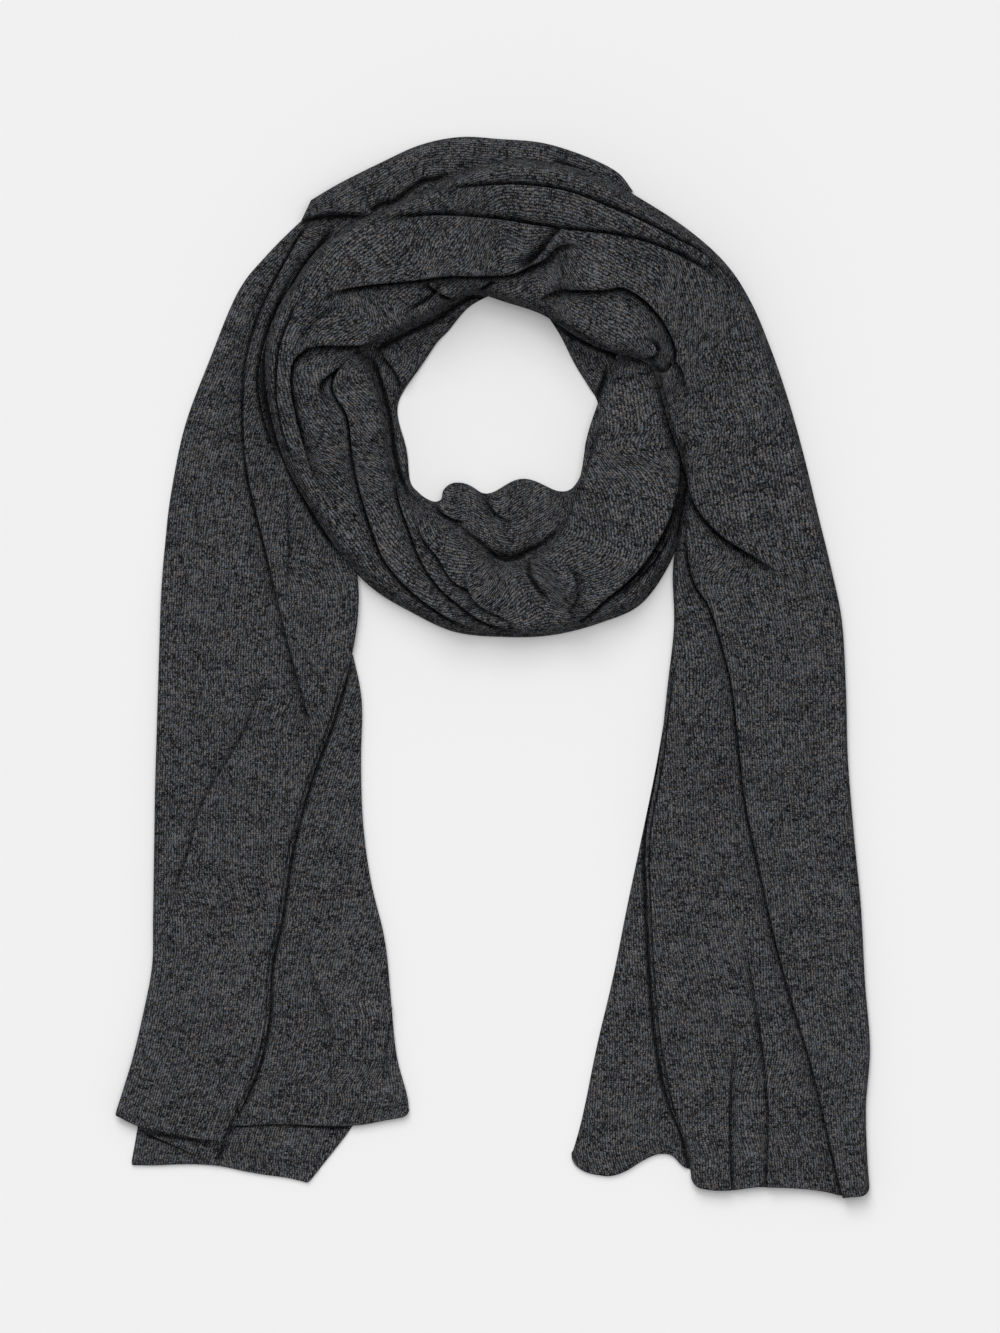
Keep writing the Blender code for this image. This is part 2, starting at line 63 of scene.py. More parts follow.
EDGE_TUCK = 1.6                 # how far an underside is set in from the stretch's edge
EDGE_BELLY = 0.38               # height of a rolled edge's widest point, as a share of the edge's height
PLY_STEP = 0.25                 # how much further in the edge of each next ply starts, in widths of its rounding
MOST_ROUND = 0.3                # the largest share of the width that one edge's rounding takes
LEAST_PLY = 0.5                 # least thickness that a crease leaves
SLIT_WIDTH = 2.0                # half-width under which a trough is a narrow slit, with painted shade inside
SLIT_PAINTED_SHADE = 0.9                # half-width of the painted shade in a slit, in the slit's own
THICK = 4.0                     # thickness from which a stretch is as full as any at its edges
FAR_OFF = 1e3                   # distance of points too far from a line to be asked for

# A fold's form. Places across it are counted in rolls from its lip, with the lower ply below 0.
FOLD_RELIEF = 1.35              # how much taller a fold stands than the step read beside it
CLIMB = (-1.0, 2.9)             # where the climb to the upper ply starts, and its width
CREASE = (-1.3, 0.85)           # middle and half-width of the crease under the roll
CREASE_DEPTH = 1.35             # its depth, in drops
SAG = (-1.5, 2.0)               # where the lower ply's sag starts to end, and over what width
SAG_DEPTH = 0.45                # its depth, in drops
SAG_REACH = 0.5                 # how far it reaches, in the fold's own reaches
PAINTED_SHADE = (-1.2, 1.3)             # middle and half-width of the painted shade line in the crease
PAINTED_SHADE_SPREAD = (0.2, 5.0)       # how dark the painted shade on the lower ply beside it is, and how far it spreads
FULL_DROP = 3.0                 # drop from which the painted shade in a crease is as dark as any

HEM_DEPTH = 9.5                 # height of the sewn hem
HEM_ROUND = 0.9                 # length over which a hem's end is rounded
HEM_WAVE_REACH = 30.0           # length over which a hem's waves die out up the cloth
HEM_RIDGE = 0.6                 # how much thicker the turned-up cloth is, and how deep the groove at its seam
HEM_STEP, HEM_SEAM = 1.6, 0.9   # width of the step to the single cloth, and half-width of the groove
PEEK, PEEK_TURNS, PEEK_STEP, PEEK_BACK = 0.7, 7.0, 2.1, 0.3  # the wave in which the lower plies' ends peek out
# Shares down a ply's end, and how far each is set in. The last is the groove under the ply.
PLY_END = ((0.06, 0.55), (0.25, 0.12), (0.5, 0.0), (0.75, 0.12), (0.94, 0.55), (1.0, 1.5))
TOP_PLY_FROM = 3                # the row with which the top ply's end starts
HEM_LINE_STEP = 0.4             # length of cloth between two lines down a hem's end

COURSE_POINTS = 240             # points at which a fold's course is read
READINGS_PER_ROW = 40           # points at which a path is read between two of its rows
SURVEY_STEP = 3.0               # distance between the sections of the first survey
SURVEY_COLUMNS = 120            # points across each section of the first survey
SURVEY_REACH = 30.0             # distance from a fold within which the survey asks for it
EDGE_CROWD, FOLD_CROWD, SLIT_CROWD = 3.0, 6.0, 7.0  # how much closer together points are there, across
EDGE_REACH = 2.5                # over what length that dies out from an edge
BUSY_CROWD, HEM_CROWD = 2.2, 2.0                    # how much closer sections are at folds, and at a hem

SIDE_PULL = 0.3                 # how much wider the stitches are where the cloth is gathered
GATHERED = (12.0, 10.0)         # height from which the cloth counts as gathered, and over what rise


class Held(Enum):
    """How a sheet of cloth is held."""

    LAID = "laid"
    FOLDED = "folded"


@dataclass(frozen=True)
class Section:
    """A section across a stretch: its two ends in the photograph and its heights in millimetres.

    Args:
        outer: place of the outer end.
        inner: place of the inner end.
        crown: height of the top above the floor.
        outer_lift: height of the underside at the outer end.
        inner_lift: height of the underside at the inner end.
        soft: width over which the two edges round off.
    """

    outer: tuple
    inner: tuple
    crown: float
    outer_lift: float
    inner_lift: float
    soft: float

    def as_row(self) -> list:
        """The section as one row of millimetres."""
        return [*in_millimetres(self.outer), *in_millimetres(self.inner), self.crown, self.outer_lift,
                self.inner_lift, self.soft]


@dataclass(frozen=True)
class Fold:
    """A fold in the cloth: its course in the photograph and its form in millimetres.

    Args:
        course: places along the fold's edge, as pairs of pixels.
        over: 1 where the ply on the course's right lies on top, -1 where the one on its left does.
        drop: height of the step.
        lap: how far the upper ply's roll hangs over.
        roll: half the width of the step.
        reach: how far the upper ply takes to sink back.
        fades: share of the course over which the fold fades in and out.
    """

    course: str
    over: int
    drop: float
    lap: float
    roll: float
    reach: float
    fades: tuple

    @property
    def within(self) -> float:
        """Distance from its course past which it lifts nothing."""
        return 6.0 * self.reach + 20.0

    @property
    def crowding(self) -> tuple:
        """Half the width in which points crowd round it, and how much closer together they are."""
        return 2.4 * self.roll + self.lap, FOLD_CROWD

    def form(self, beside: np.ndarray, strength: np.ndarray) -> tuple:
        """The fold's form at points beside its course.

        The cloth climbs by the drop in a smooth step, which dies out over the reach, less a bell-shaped crease
        and the lower ply's sag. A point moves sideways by its turn times a bell, so that the roll hangs over.

        Args:
            beside: distances to the upper ply's side.
            strength: the fold's strength at each point.

        Returns:
            How far each point is lifted, how far it moves towards the lower ply, and how much painted shade it gets.
        """
        turn = (beside - 0.5 * self.lap * strength) / self.roll
        climb = smooth_step(scaled(turn, CLIMB)) * np.exp(-np.maximum(turn, 0.0) * self.roll / self.reach)
        crease = CREASE_DEPTH * bell(scaled(turn, CREASE))
        sag = SAG_DEPTH * (1.0 - smooth_step(scaled(turn, SAG)))
        sag = sag * np.exp(np.minimum(turn - SAG[0], 0.0) * self.roll / (SAG_REACH * self.reach))
        shift = (self.lap + 2.0 * self.roll) * 0.5 * turn * np.exp((1.0 - turn ** 2) / 2)
        # painted shade: a dark line along the crease, and a weaker shade spread over the lower ply beside it
        painted_shade_beside = PAINTED_SHADE_SPREAD[0] * bell(np.minimum(turn - PAINTED_SHADE[0], 0.0) / PAINTED_SHADE_SPREAD[1]) * (turn < 1.0)
        dark = min(1.0, self.drop / FULL_DROP) * np.maximum(bell(scaled(turn, PAINTED_SHADE)), painted_shade_beside)
        return strength * FOLD_RELIEF * self.drop * (climb - crease - sag), strength * shift, strength * dark


@dataclass(frozen=True)
class Rise:
    """A soft ridge, or a trough where its height is below 0, along a course.

    Args:
        course: places along the ridge, as pairs of pixels.
        height: height of the ridge in millimetres.
        width: half its width in millimetres.
        fades: share of the course over which it fades in and out.
        over: the side on which distances count as positive, as in a fold.
    """

    course: str
    height: float
    width: float
    fades: tuple = (0.35, 0.35)
    over: int = 1

    @property
    def is_slit(self) -> bool:
        """Whether it is a narrow slit, with painted shade inside."""
        return self.width < SLIT_WIDTH and self.height < 0

    @property
    def within(self) -> float:
        """Distance from its course past which it lifts nothing."""
        return 5.0 * self.width

    @property
    def crowding(self) -> tuple:
        """Half the width in which points crowd round it, and how much closer together they are."""
        return 1.6 * self.width, SLIT_CROWD


@dataclass(frozen=True)
class Rumple:
    """The small unevenness of soft cloth.

    Args:
        height: height of the waves in millimetres.
        across: mean distance between waves across the stretch, in millimetres.
        along: mean distance between waves along it, in millimetres.
        waves: number of waves that are added up.
        seed: number from which their sizes are drawn.
    """

    height: float = 0.5
    across: float = 26.0
    along: float = 110.0
    waves: int = 14
    seed: int = 1

    def at(self, across: np.ndarray, along: np.ndarray) -> np.ndarray:
        """Height of the rumples at points of the cloth.

        Args:
            across: distances of the points across the cloth, in millimetres.
            along: distances along it.

        Returns:
            The sum of plane waves whose lengths, phases and leans are drawn from the seed.
        """
        draw = np.random.default_rng(self.seed)
        total = np.zeros(np.broadcast(across, along).shape)
        for _ in range(self.waves):
            per_across = draw.normal(0.0, 1.0) / self.across
            per_along = draw.normal(0.0, 1.0) / self.along
            phase = draw.uniform(0.0, 2.0 * math.pi)
            total += np.sin(2.0 * math.pi * (across * per_across + along * per_along) + phase)
        return self.height * total / math.sqrt(self.waves)


def sections(*rows: tuple) -> tuple:
    """Sections from rows of the outer end, the inner end, the crown, the two lifts and the softness."""
    return tuple(Section(row[0:2], row[2:4], *row[4:]) for row in rows)


def level_sections(heights: tuple, ends: tuple) -> tuple:
    """Sections that share their heights, one for each pair of ends."""
    return sections(*((*pair, *heights) for pair in ends))


FRONT_PATH = sections(
    (664, 350, 624, 336, 12, 0, 7, 9), (668, 392, 604, 388, 19, 0, 8, 9), (677, 440, 588, 432, 22, 0, 8, 9),
    (686, 484, 580, 476, 23, 0, 8, 9), (680.5, 526, 568, 502, 24, 0, 9, 9), (670, 563, 561, 525, 25, 0, 9, 9),
    (641, 604, 549, 543, 25, 0, 10, 9), (600, 623, 530, 554, 25, 0, 10, 9), (553, 635, 514, 561, 25, 0, 10, 9),
    (507, 637, 499, 561, 25, 0, 10, 9), (455, 632, 482, 549, 25, 0, 10, 9), (409, 611, 462, 531, 25, 0, 10, 9),
    (372, 588, 438, 514, 25, 3, 10, 9), (342, 556, 414, 503, 24, 7.8, 10, 9), (313, 513, 400, 484, 24, 8.25, 10, 6),
    (287, 468, 392, 455, 23, 8.25, 10, 6), (273, 425, 387, 418, 23, 8.25, 10, 6),
    (265, 382, 377, 380, 24, 8.25, 10, 6), (266, 342, 366, 354, 26, 8.25, 11, 6),
    (277, 310, 376, 342, 29, 8.25, 12, 6), (293, 283, 392, 336, 31, 8.25, 13, 6),
    (315, 252, 414, 325, 33, 8.25, 13, 6), (346, 226, 432, 317, 34, 8.25, 13, 6),
    (389, 206, 450, 305, 35, 7.6, 13, 6), (438, 183, 474, 293, 36, 8, 13, 7), (492, 161, 503, 302, 37, 8, 13, 8),
    (545, 161, 541, 314, 38, 8, 14, 8), (597, 175, 572, 334, 38, 8, 15, 8), (643, 200, 604, 350, 37, 4, 17, 8),
    (690, 231, 641, 360, 35, 1, 20, 8), (727, 265, 655, 374, 33, 0, 20, 8), (752, 304, 663, 402, 30, 0, 18, 8),
    (772, 352, 671, 431, 26, 0, 16, 7), (789, 402, 682, 461, 22, 0, 9, 7), (804, 456, 686, 491, 18, 0, 2, 6),
    (818, 514, 679, 529, 15, 0, 0, 5), (832, 572, 672.5, 570, 12, 3, 3, 4), (842, 622, 674, 625, 10.5, 3.1, 3.1, 3.5),
    (846, 690, 667, 690, 9.5, 3.1, 3.1, 3), (848, 760, 659, 762, 9, 3.1, 3.1, 3),
    (854, 835, 646, 838, 8.6, 3.1, 3.1, 3), (861, 908, 648, 912, 8.3, 3.1, 3.1, 3),
    (865, 982, 652, 985, 8, 3.1, 3.1, 3), (870, 1048, 658, 1045, 7.8, 3.1, 3.1, 3),
    (866, 1104, 669, 1102, 7.6, 3.1, 3.1, 3), (867, 1152, 687, 1148, 7.6, 3.1, 3.1, 3),
    (870, 1193, 692, 1187, 7.6, 3.1, 3.1, 3),
)

TAIL_RIGHT_BACK_PATH = level_sections((2.8, 0, 0, 1.4), (
    (826, 606, 683, 606), (838, 690, 669, 690), (841, 760, 657, 762), (846, 836, 642, 836), (853, 907, 627, 907),
    (857, 978, 613, 978), (862, 1045, 597, 1045), (858, 1116, 583, 1114), (855, 1172, 571, 1157),
))

LOOP_BACK_PATH = sections(
    (458, 250, 502, 290, 7, 0, 0, 4), (418, 280, 470, 306, 7, 0, 0, 4), (390, 300, 450, 329, 7, 0, 0, 4),
    (366, 322, 436, 345, 7, 0, 0, 4), (354, 345, 417, 373, 7, 0, 0, 4), (351, 380, 401, 395, 7, 0, 0, 4),
    (353, 415, 397, 415, 7, 0, 0, 4), (360, 455, 407, 449, 7, 0, 0, 4), (376, 498, 410, 482, 7, 0, 0, 4),
    (398, 526, 420, 494, 7.4, 0, 0, 4), (418, 545, 434, 503, 7.6, 0, 0, 4), (430, 554, 441, 503, 7.8, 0, 0, 4),
    (440, 560, 444, 487, 8, 0, 0, 4), (455, 570, 456, 480, 8, 0, 0, 4), (472, 578, 473, 486, 8, 0, 0, 4),
    (488, 583, 486, 497, 8, 0, 0, 4), (502, 585, 502, 486, 8, 0, 0, 4), (522, 582, 522, 477, 8, 0, 0, 4),
    (545, 575, 544, 484, 7.8, 0, 0, 4), (568, 562, 560, 493, 7.6, 0, 0, 4), (600, 540, 574, 486, 7, 0, 0, 4),
    (620, 500, 584, 466, 6.4, 0, 0, 4), (628, 450, 586, 440, 6, 0, 0, 4), (634, 408, 599, 406, 6, 0, 0, 4),
    (628, 372, 587, 385, 5.6, 0, 0, 4), (612, 342, 573, 361, 5, 0, 0, 4), (598, 318, 560, 335, 9.5, 0, 0, 4),
    (576, 284, 544, 310, 12.5, 0, 0, 4),
)

BAND_TOP_PATH = sections(
    (311, 200, 301, 221, 14, 7.5, 7.5, 2.5), (340, 183, 333, 214, 16, 7.5, 7.5, 3), (380, 163, 380, 217, 16, 3, 4, 4),
    (420, 145, 416, 202, 14, 0, 0, 7), (460, 137, 457, 186, 9.4, 0, 0, 6), (500, 139, 499, 174, 7, 0, 0, 4),
    (543, 143, 543, 176, 7, 0, 0, 4), (585, 156, 578, 186, 6, 0, 0, 4), (617, 172, 606, 196, 4, 0, 0, 3),
    (633, 191, 620, 206, 3, 0, 0, 2),
)

TAIL_LEFT_FRONT_PATH = sections(
    (352, 178, 378, 209, 3.0, 0, 0, 1.5), (337, 189, 364, 220, 5, 0, 0, 2.4), (318, 208, 350, 234, 5, 0, 0, 2.4),
    (300, 222, 342, 254, 5, 0, 0, 2.4), (266, 256, 318, 286, 5, 0, 0, 2.4), (238, 292, 302, 322, 5, 0, 0, 2.4),
    (210, 359, 297, 376, 5, 0, 0, 2.4), (185, 426, 306, 444, 5, 0, 0, 2.4), (171, 494, 330, 508, 5, 0, 0, 2.4),
    (165, 545, 352, 552, 5.4, 0, 0, 2.4), (161, 596, 359, 598, 7, 3, 5.2, 2.4),
    (159, 655, 352, 655, 7.8, 3, 5.2, 2.2), (157, 720, 333, 720, 7.8, 3, 5.2, 2.2),
    (155, 790, 308, 788, 7.8, 3, 5.2, 2.2), (154, 853, 291, 853, 7.8, 3, 5.2, 2.2),
    (153, 918, 281, 920, 7.8, 3, 5.2, 2.2), (152, 966, 271, 966, 7.8, 3, 5.2, 2.2),
    (143, 1014, 268, 1022, 7.8, 3.2, 5.2, 2.2), (132, 1060, 255, 1076, 7.8, 4.6, 5.2, 2.0),
    (115, 1115, 223, 1147, 7.8, 4.7, 5.2, 1.8),
)

TAIL_LEFT_INNER_PATH = level_sections((4.7, 2.5, 2.5, 1.2), (
    (340, 655, 353, 655), (318, 700, 362, 700), (296, 760, 361, 760), (278, 822, 363, 822), (266, 882, 371, 882),
    (256, 940, 385, 940), (249, 1000, 391, 1000), (240, 1056, 397, 1056), (233, 1096, 408, 1094),
    (224, 1130, 409, 1112),
))

TAIL_LEFT_UNDER_PATH = level_sections((2.2, 0, 0, 1.2), (
    (170, 622, 350, 622), (164, 720, 354, 720), (162, 810, 354, 810), (162, 900, 366, 900), (158, 980, 382, 980),
    (147, 1050, 388, 1050), (139, 1118, 362, 1112), (131, 1165, 309, 1182),
))

TAIL_LEFT_MIDDLE_PATH = level_sections((4.1, 2.5, 2.5, 1.0), (
    (158, 1070, 222, 1088), (149, 1098, 219, 1122), (139, 1130, 217, 1165),
))

FRONT_FOLDS = (
    # the ring's right side
    Fold("687,436 680,462 679,484 670,516 653,550 632,577 605,600 578,622 552,633", 1, 4.5, 2.6, 1.5, 16, (0.12, 0.2)),
    Fold("684,474 683,492 675,519 665,543 650,566 630,586 608,602", 1, 2.6, 1.6, 1.2, 9, (0.2, 0.3)),
    Fold("604,410 590,466 574,505 560,532 535,560", -1, 1.6, 0.4, 2.0, 14, (0.3, 0.3)),
    Fold("562,560 572,574 577,590 573,606 561,618", 1, 2.2, 0.8, 1.5, 8, (0.35, 0.35)),
    Fold("529,556 532,574 541,589 552,602", -1, 2.6, 0.8, 1.5, 9, (0.2, 0.4)),
    Fold("462,572 470,590 486,608 506,620", -1, 1.6, 0.5, 2.0, 12, (0.3, 0.4)),
    # the ring's bottom and left side
    Fold("565,634 530,634 489,624 467,611 439,587 421,560 408,526 398,497 396,469 392,433 384,400 374,377 361,355",
         1, 3.4, 1.9, 1.3, 12, (0.2, 0.12)),
    Fold("530,632 507,621 477,599 453,581 438,558 423,538 412,512", 1, 2.4, 1.4, 1.2, 8, (0.3, 0.2)),
    Fold("486,634 458,623 430,606 408,588 387,564 376,541 366,511 357,479 352,450 350,428 346,412 338,400 333,388 "
         "336,375 346,362 360,347", 1, 4.6, 2.6, 1.4, 15, (0.12, 0.04)),
    Fold("364,345 350,357 338,368 327,376 320,384 321,394 328,402 338,408", 1, 3.6, 1.4, 1.4, 9, (0.1, 0.5)),
    Fold("351,529 331,502 314,474 302,440 294,410 290,384 292,364 302,352 319,346 340,346 361,345 384,339",
         -1, 5, 3.0, 1.5, 10, (0.55, 0.08)),
    Fold("300,476 286,440 279,410 277,385 279,354 286,330 298,305 314,284", 1, 2.6, 1.6, 1.2, 8, (0.2, 0.3)),
    # the crossing
    Fold("424,192 448,189 472,187 517,185 564,191 606,206 639,220 680,241 703,254 727,277 743,297 765,335",
         1, 4.2, 2.6, 1.5, 20, (0.15, 0.2)),
    Fold("360,236 383,223 413,217 450,216 500,220 558,229 611,235 644,242 680,256 707,272 728,290 744,312",
         1, 3.6, 1.8, 1.5, 18, (0.2, 0.25)),
    Fold("314,302 340,291 367,285 398,282 424,279 450,276 480,276 505,275 524,271 540,264 550,256 559,247 572,245 "
         "586,250", -1, 5, 3.0, 1.6, 18, (0.2, 0.15)),
    Fold("512,268 530,260 542,250 551,239 562,231", 1, 3.6, 1.2, 1.4, 6, (0.3, 0.1)),
    Fold("400,316 418,307 432,298 440,288 442,281", 1, 2.4, 0.8, 1.5, 8, (0.35, 0.1)),
    Fold("424,281 434,289 446,296 458,298 470,294 482,287 496,279", -1, 4.6, 1.4, 1.2, 6, (0.1, 0.12)),
    Fold("300,352 306,334 318,321 334,311 352,303", 1, 1.4, 0.5, 1.6, 12, (0.3, 0.4)),
    # the lip and the shoulder
    Fold("530,306 545,297 560,291 583,290 605,290 620,287 633,292 646,301 657,313 667,327 674,342 677,354 675,363 "
         "668,369", -1, 5.5, 3.0, 1.6, 16, (0.2, 0.08)),
    Fold("552,317 577,330 596,341 613,351 630,357 643,359 653,356 657,350 654,344 646,342",
         -1, 4.6, 1.8, 1.2, 8, (0.1, 0.12)),
    Fold("660,375 667,402 674,429 681,450", -1, 3.6, 1.8, 1.1, 8, (0.1, 0.1)),
    Fold("674,364 666,372 657,371 651,365", -1, 3.0, 0.8, 1.2, 7, (0.15, 0.3)),
    Fold("677,358 683,371 687,386 690,402", -1, 1.8, 0.6, 1.8, 9, (0.2, 0.5)),
    Fold("679,452 686,479 697,508 721,535 757,559 788,582", -1, 5.5, 3.0, 1.8, 26, (0.2, 0.35)),
    # the right tail
    Fold("687,500 686,535 689,565 697,588 710,608 722,645 732,686 739,745 746,804 761,875 777,946 794,1007 "
         "812,1067 831,1146 850,1225", -1, 3.6, 2.8, 1.3, 36, (0.12, 0.0)),
    Fold("679,640 671,700 664,762 651,838 652,912 656,985 662,1045 673,1102 687,1142 692,1170",
         -1, 2.2, 1.6, 1.0, 8, (0.15, 0.08)),
    Fold("733,889 752,978 765,1062 769,1130 766,1230", -1, 1.5, 0.8, 1.3, 24, (0.4, 0.0)),
    Fold("734,1042 729,1101 729,1150 733,1230", 1, 1.7, 0.8, 1.3, 20, (0.3, 0.0)),
)

FRONT_RISES = (
    Rise("681,464 686,482 684,498 680,520 677,540", -3.0, 1.3, (0.1, 0.1)),
    Rise("766,548 780,560 791,574", 1.2, 3.0),
    Rise("600,410 620,404 640,414", -1.2, 4.0),
    Rise("689,414 702,398 718,386", -1.4, 4.0),
    Rise("694,440 706,432 724,420", -1.0, 4.0),
    Rise("304,404 314,412 328,415", -2.6, 5.0),
    Rise("325,384 333,396 343,408", 1.2, 3.0),
    Rise("304,362 301,390 306,420", -1.2, 4.0),
    Rise("720,690 728,700 735,712", -1.0, 3.0),
    Rise("393,395 398,440 399,490", 0.8, 2.2),
    Rise("360,322 390,310 420,300", -1.4, 6.0),
    Rise("320,318 350,304 390,296", 1.0, 7.0),
    Rise("524,262 540,250 552,238", -2.6, 5.0),
    Rise("440,281 460,286 484,281", -3.4, 3.6),
    Rise("392,326 418,312 440,300", 1.8, 4.5),
    Rise("482,288 510,298 545,308", -1.0, 4.0),
    Rise("500,283 520,290 540,294", -1.4, 5.0),
    Rise("330,290 350,285 372,276", -1.4, 4.0),
    Rise("560,247 590,247 620,250", -1.0, 3.5),
    Rise("548,578 557,590 563,602", 1.8, 7.0),
    Rise("500,566 515,556 532,551", -2.4, 5.0),
    Rise("590,560 610,540 628,512", 0.9, 5.0),
    Rise("575,540 592,520 602,498", -0.8, 4.5),
    Rise("630,470 640,500 632,530", 0.8, 5.0),
    Rise("440,262 480,258 520,254", 0.8, 8.0),
    Rise("600,262 640,272 680,300", -0.9, 8.0),
    Rise("640,300 690,330 730,380", 0.8, 8.0),
    Rise("320,440 332,478 350,512", 0.9, 5.0),
    Rise("372,430 376,470 386,510", -0.8, 5.0),
)

TAIL_RIGHT_BACK_RISES = (
    Rise("676,600 666,690 658,762 645,838 646,912 650,985 656,1045 667,1102 685,1148 694,1178", -2.6, 1.3, (0.2, 0.0)),
    Rise("640,800 622,900 608,1000", 0.7, 5.0),
)

TAIL_LEFT_MIDDLE_RISES = (
    Rise("134,1127 145,1132 160,1135 180,1138 200,1141 220,1144", -1.8, 1.4),
)

TAIL_LEFT_UNDER_RISES = (
    Rise("226,1128 250,1127 280,1125 313,1127 356,1128", -1.8, 1.2, (0.1, 0.1)),
    Rise("140,1131 152,1137 178,1149 201,1159 212,1163 218,1158 224,1142", -1.8, 1.2, (0.1, 0.1)),
    Rise("268,1130 262,1148 258,1170", -0.9, 3.0),
    Rise("331,1130 328,1142 326,1160", -0.7, 3.0),
)

BAND_TOP_RISES = (
    Rise("551,160 572,167 588,173", -2.5, 1.5, (0.15, 0.3)),
    Rise("500,163 520,163 552,168 575,173 601,182", -1.5, 1.6),
    Rise("369,212 382,205 394,202 408,192 423,182 438,179 462,172", -5.0, 1.9, (0.05, 0.3)),
    Rise("446,174 475,166 505,158", -2.0, 4.0),
    Rise("350,190 380,184 410,172", 0.8, 4.0),
)

TAIL_LEFT_FOLDS = (
    Fold("348,655 329,720 304,788 287,853 277,920 267,966 264,1022 251,1076 219,1146 180,1230",
         1, 1.8, 1.5, 1.0, 8, (0.1, 0.0)),
    Fold("276,650 250,720 232,755 212,787 199,815 191,848 180,880 167,925", -1, 1.0, 0.4, 1.3, 12, (0.3, 0.2)),
    Fold("312,219 291,253 262,310 246,370 246,460 266,550 289,645 312,731", -1, 3.2, 2.0, 1.3, 22, (0.05, 0.06)),
    Fold("300,268 282,300 266,340 259,382 268,430 290,474", -1, 2.6, 1.0, 1.3, 12, (0.2, 0.25)),
    Fold("286,470 287,530 287,587 284,602", 1, 1.0, 0.4, 1.3, 12, (0.4, 0.4)),
)

TAIL_LEFT_RISES = (
    Rise("301,224 312,219 326,217 340,216 352,215 364,214", -3.0, 1.8, (0.05, 0.05)),
    Rise("322,230 308,245 294,262 284,280 274,300 267,320 262,345 260,380 264,415 274,450", 5.0, 5.0, (0.15, 0.35)),
    Rise("338,215 326,238 305,267 290,291 277,319 268,352 265,383 271,420 280,446 292,474 311,511 331,542 346,560",
         -4.5, 1.9, (0.08, 0.08)),
    Rise("232,330 222,380 216,450 214,520", 0.6, 6.0),
    Rise("196,520 188,600 184,680", -0.5, 7.0),
    Rise("277,941 268,951 257,961", -1.6, 1.4, (0.05, 0.6)),
)

TAIL_LEFT_INNER_FOLDS = (
    Fold("316,905 311,960 331,1022 340,1066", -1, 0.8, 0.4, 1.6, 16, (0.4, 0.4)),
    Fold("394,1002 388,1030 385,1050 383,1084", 1, 1.5, 1.3, 1.0, 6, (0.1, 0.2)),
)

TAIL_LEFT_INNER_RISES = (
    Rise("354,655 335,720 310,788 293,853 283,920 273,966 270,1022 257,1076 236,1120", -2.6, 1.2, (0.05, 0.0)),
    Rise("318,1000 310,1040 300,1090", 0.7, 6.0),
    Rise("352,960 358,1020 352,1080", 0.6, 5.0),
    Rise("361,1041 361,1062 361,1086", -0.5, 4.0),
    Rise("277,1072 292,1064 306,1059", -0.5, 4.0),
)

LOOP_BACK_FOLDS = (
    Fold("372,346 392,366 404,392 402,424", -1, 2, 0.8, 1.6, 8, (0.3, 0.3)),
    Fold("436,498 440,510 452,518 470,524", -1, 2.4, 0.8, 1.3, 7, (0.05, 0.5)),
    Fold("486,492 490,504 500,516 515,524", -1, 2.4, 0.8, 1.3, 8, (0.05, 0.5)),
)

LOOP_BACK_RISES = (
    Rise("497,305 474,297 452,309 434,321 416,329 395,340 381,347 371,357", -4.5, 1.6, (0.1, 0.1)),
    Rise("369,352 380,380 390,417 395,454 403,483 417,501 440,511", -4.5, 1.5, (0.1, 0.3)),
    Rise("441,509 452,520 464,530 484,546 499,558 514,558 529,551 547,541 560,527 567,513", -3.0, 1.5, (0.3, 0.3)),
    Rise("577,475 585,431 601,388 609,362", -3.5, 1.4, (0.4, 0.1)),
    Rise("545,318 556,325 574,336 594,346 612,354 628,360", -3.5, 1.7, (0.1, 0.1)),
    Rise("440,512 470,520 500,530 530,520 556,505", 2.5, 12.0, (0.2, 0.2)),
    Rise("442,315 415,335 380,360", 1.4, 5.0),
    Rise("520,490 530,510 545,525", 0.8, 6.0),
    Rise("482,550 496,558 511,561 526,555 542,545", -7.0, 4.0),
)


def in_millimetres(place: tuple) -> np.ndarray:
    """The millimetres, right and up from the wrap's middle, of places given in photograph pixels."""
    from_middle = (np.asarray(place, float) - MIDDLE) * PIXEL / MM
    return from_middle * np.array([1.0, -1.0])


def smooth_step(t: np.ndarray) -> np.ndarray:
    """Climbs from 0 to 1 as t does, level at both ends."""
    t = np.clip(t, 0.0, 1.0)
    return t * t * (3.0 - 2.0 * t)


def bell(t: np.ndarray) -> np.ndarray:
    """A bell curve: 1 at 0, falling to 0 on both sides."""
    return np.exp(-np.square(t))


def scaled(t: np.ndarray, span: tuple) -> np.ndarray:
    """How far t is past a span's start, in the span's widths."""
    return (t - span[0]) / span[1]


def through_rows(rows: np.ndarray, at: np.ndarray) -> np.ndarray:
    """A smooth curve through evenly spaced rows of values.

    Args:
        rows: the values, one row each.
        at: the row numbers, with fractions, at which the curve is read.

    Returns:
        A row of values for each reading, on cubic pieces whose slope at a row is that of its two neighbours.
    """
    slopes = np.gradient(rows, axis=0)
    first = np.clip(at.astype(int), 0, len(rows) - 2)
    t = (at - first)[:, None]
    start, end = rows[first], rows[first + 1]
    leave, arrive = slopes[first], slopes[first + 1]
    return (start * (1 + 2 * t) * (1 - t) ** 2 + leave * t * (1 - t) ** 2
            + end * t * t * (3 - 2 * t) + arrive * t * t * (t - 1))


def read_columns(table: np.ndarray, run: np.ndarray, at: np.ndarray) -> np.ndarray:
    """Each column of a table, read between its rows at the given runs."""
    return np.stack([np.interp(at, run, column) for column in table.T], axis=1)


def evened(values: np.ndarray, times: int) -> np.ndarray:
    """Evens out rows of values.

    Args:
        values: the values, one row each.
        times: how many times each row is averaged with its neighbours.

    Returns:
        The new rows, with the first and the last kept.
    """
    for _ in range(times):
        middle = 0.25 * values[:-2] + 0.5 * values[1:-1] + 0.25 * values[2:]
        values = np.concatenate([values[:1], middle, values[-1:]])
    return values


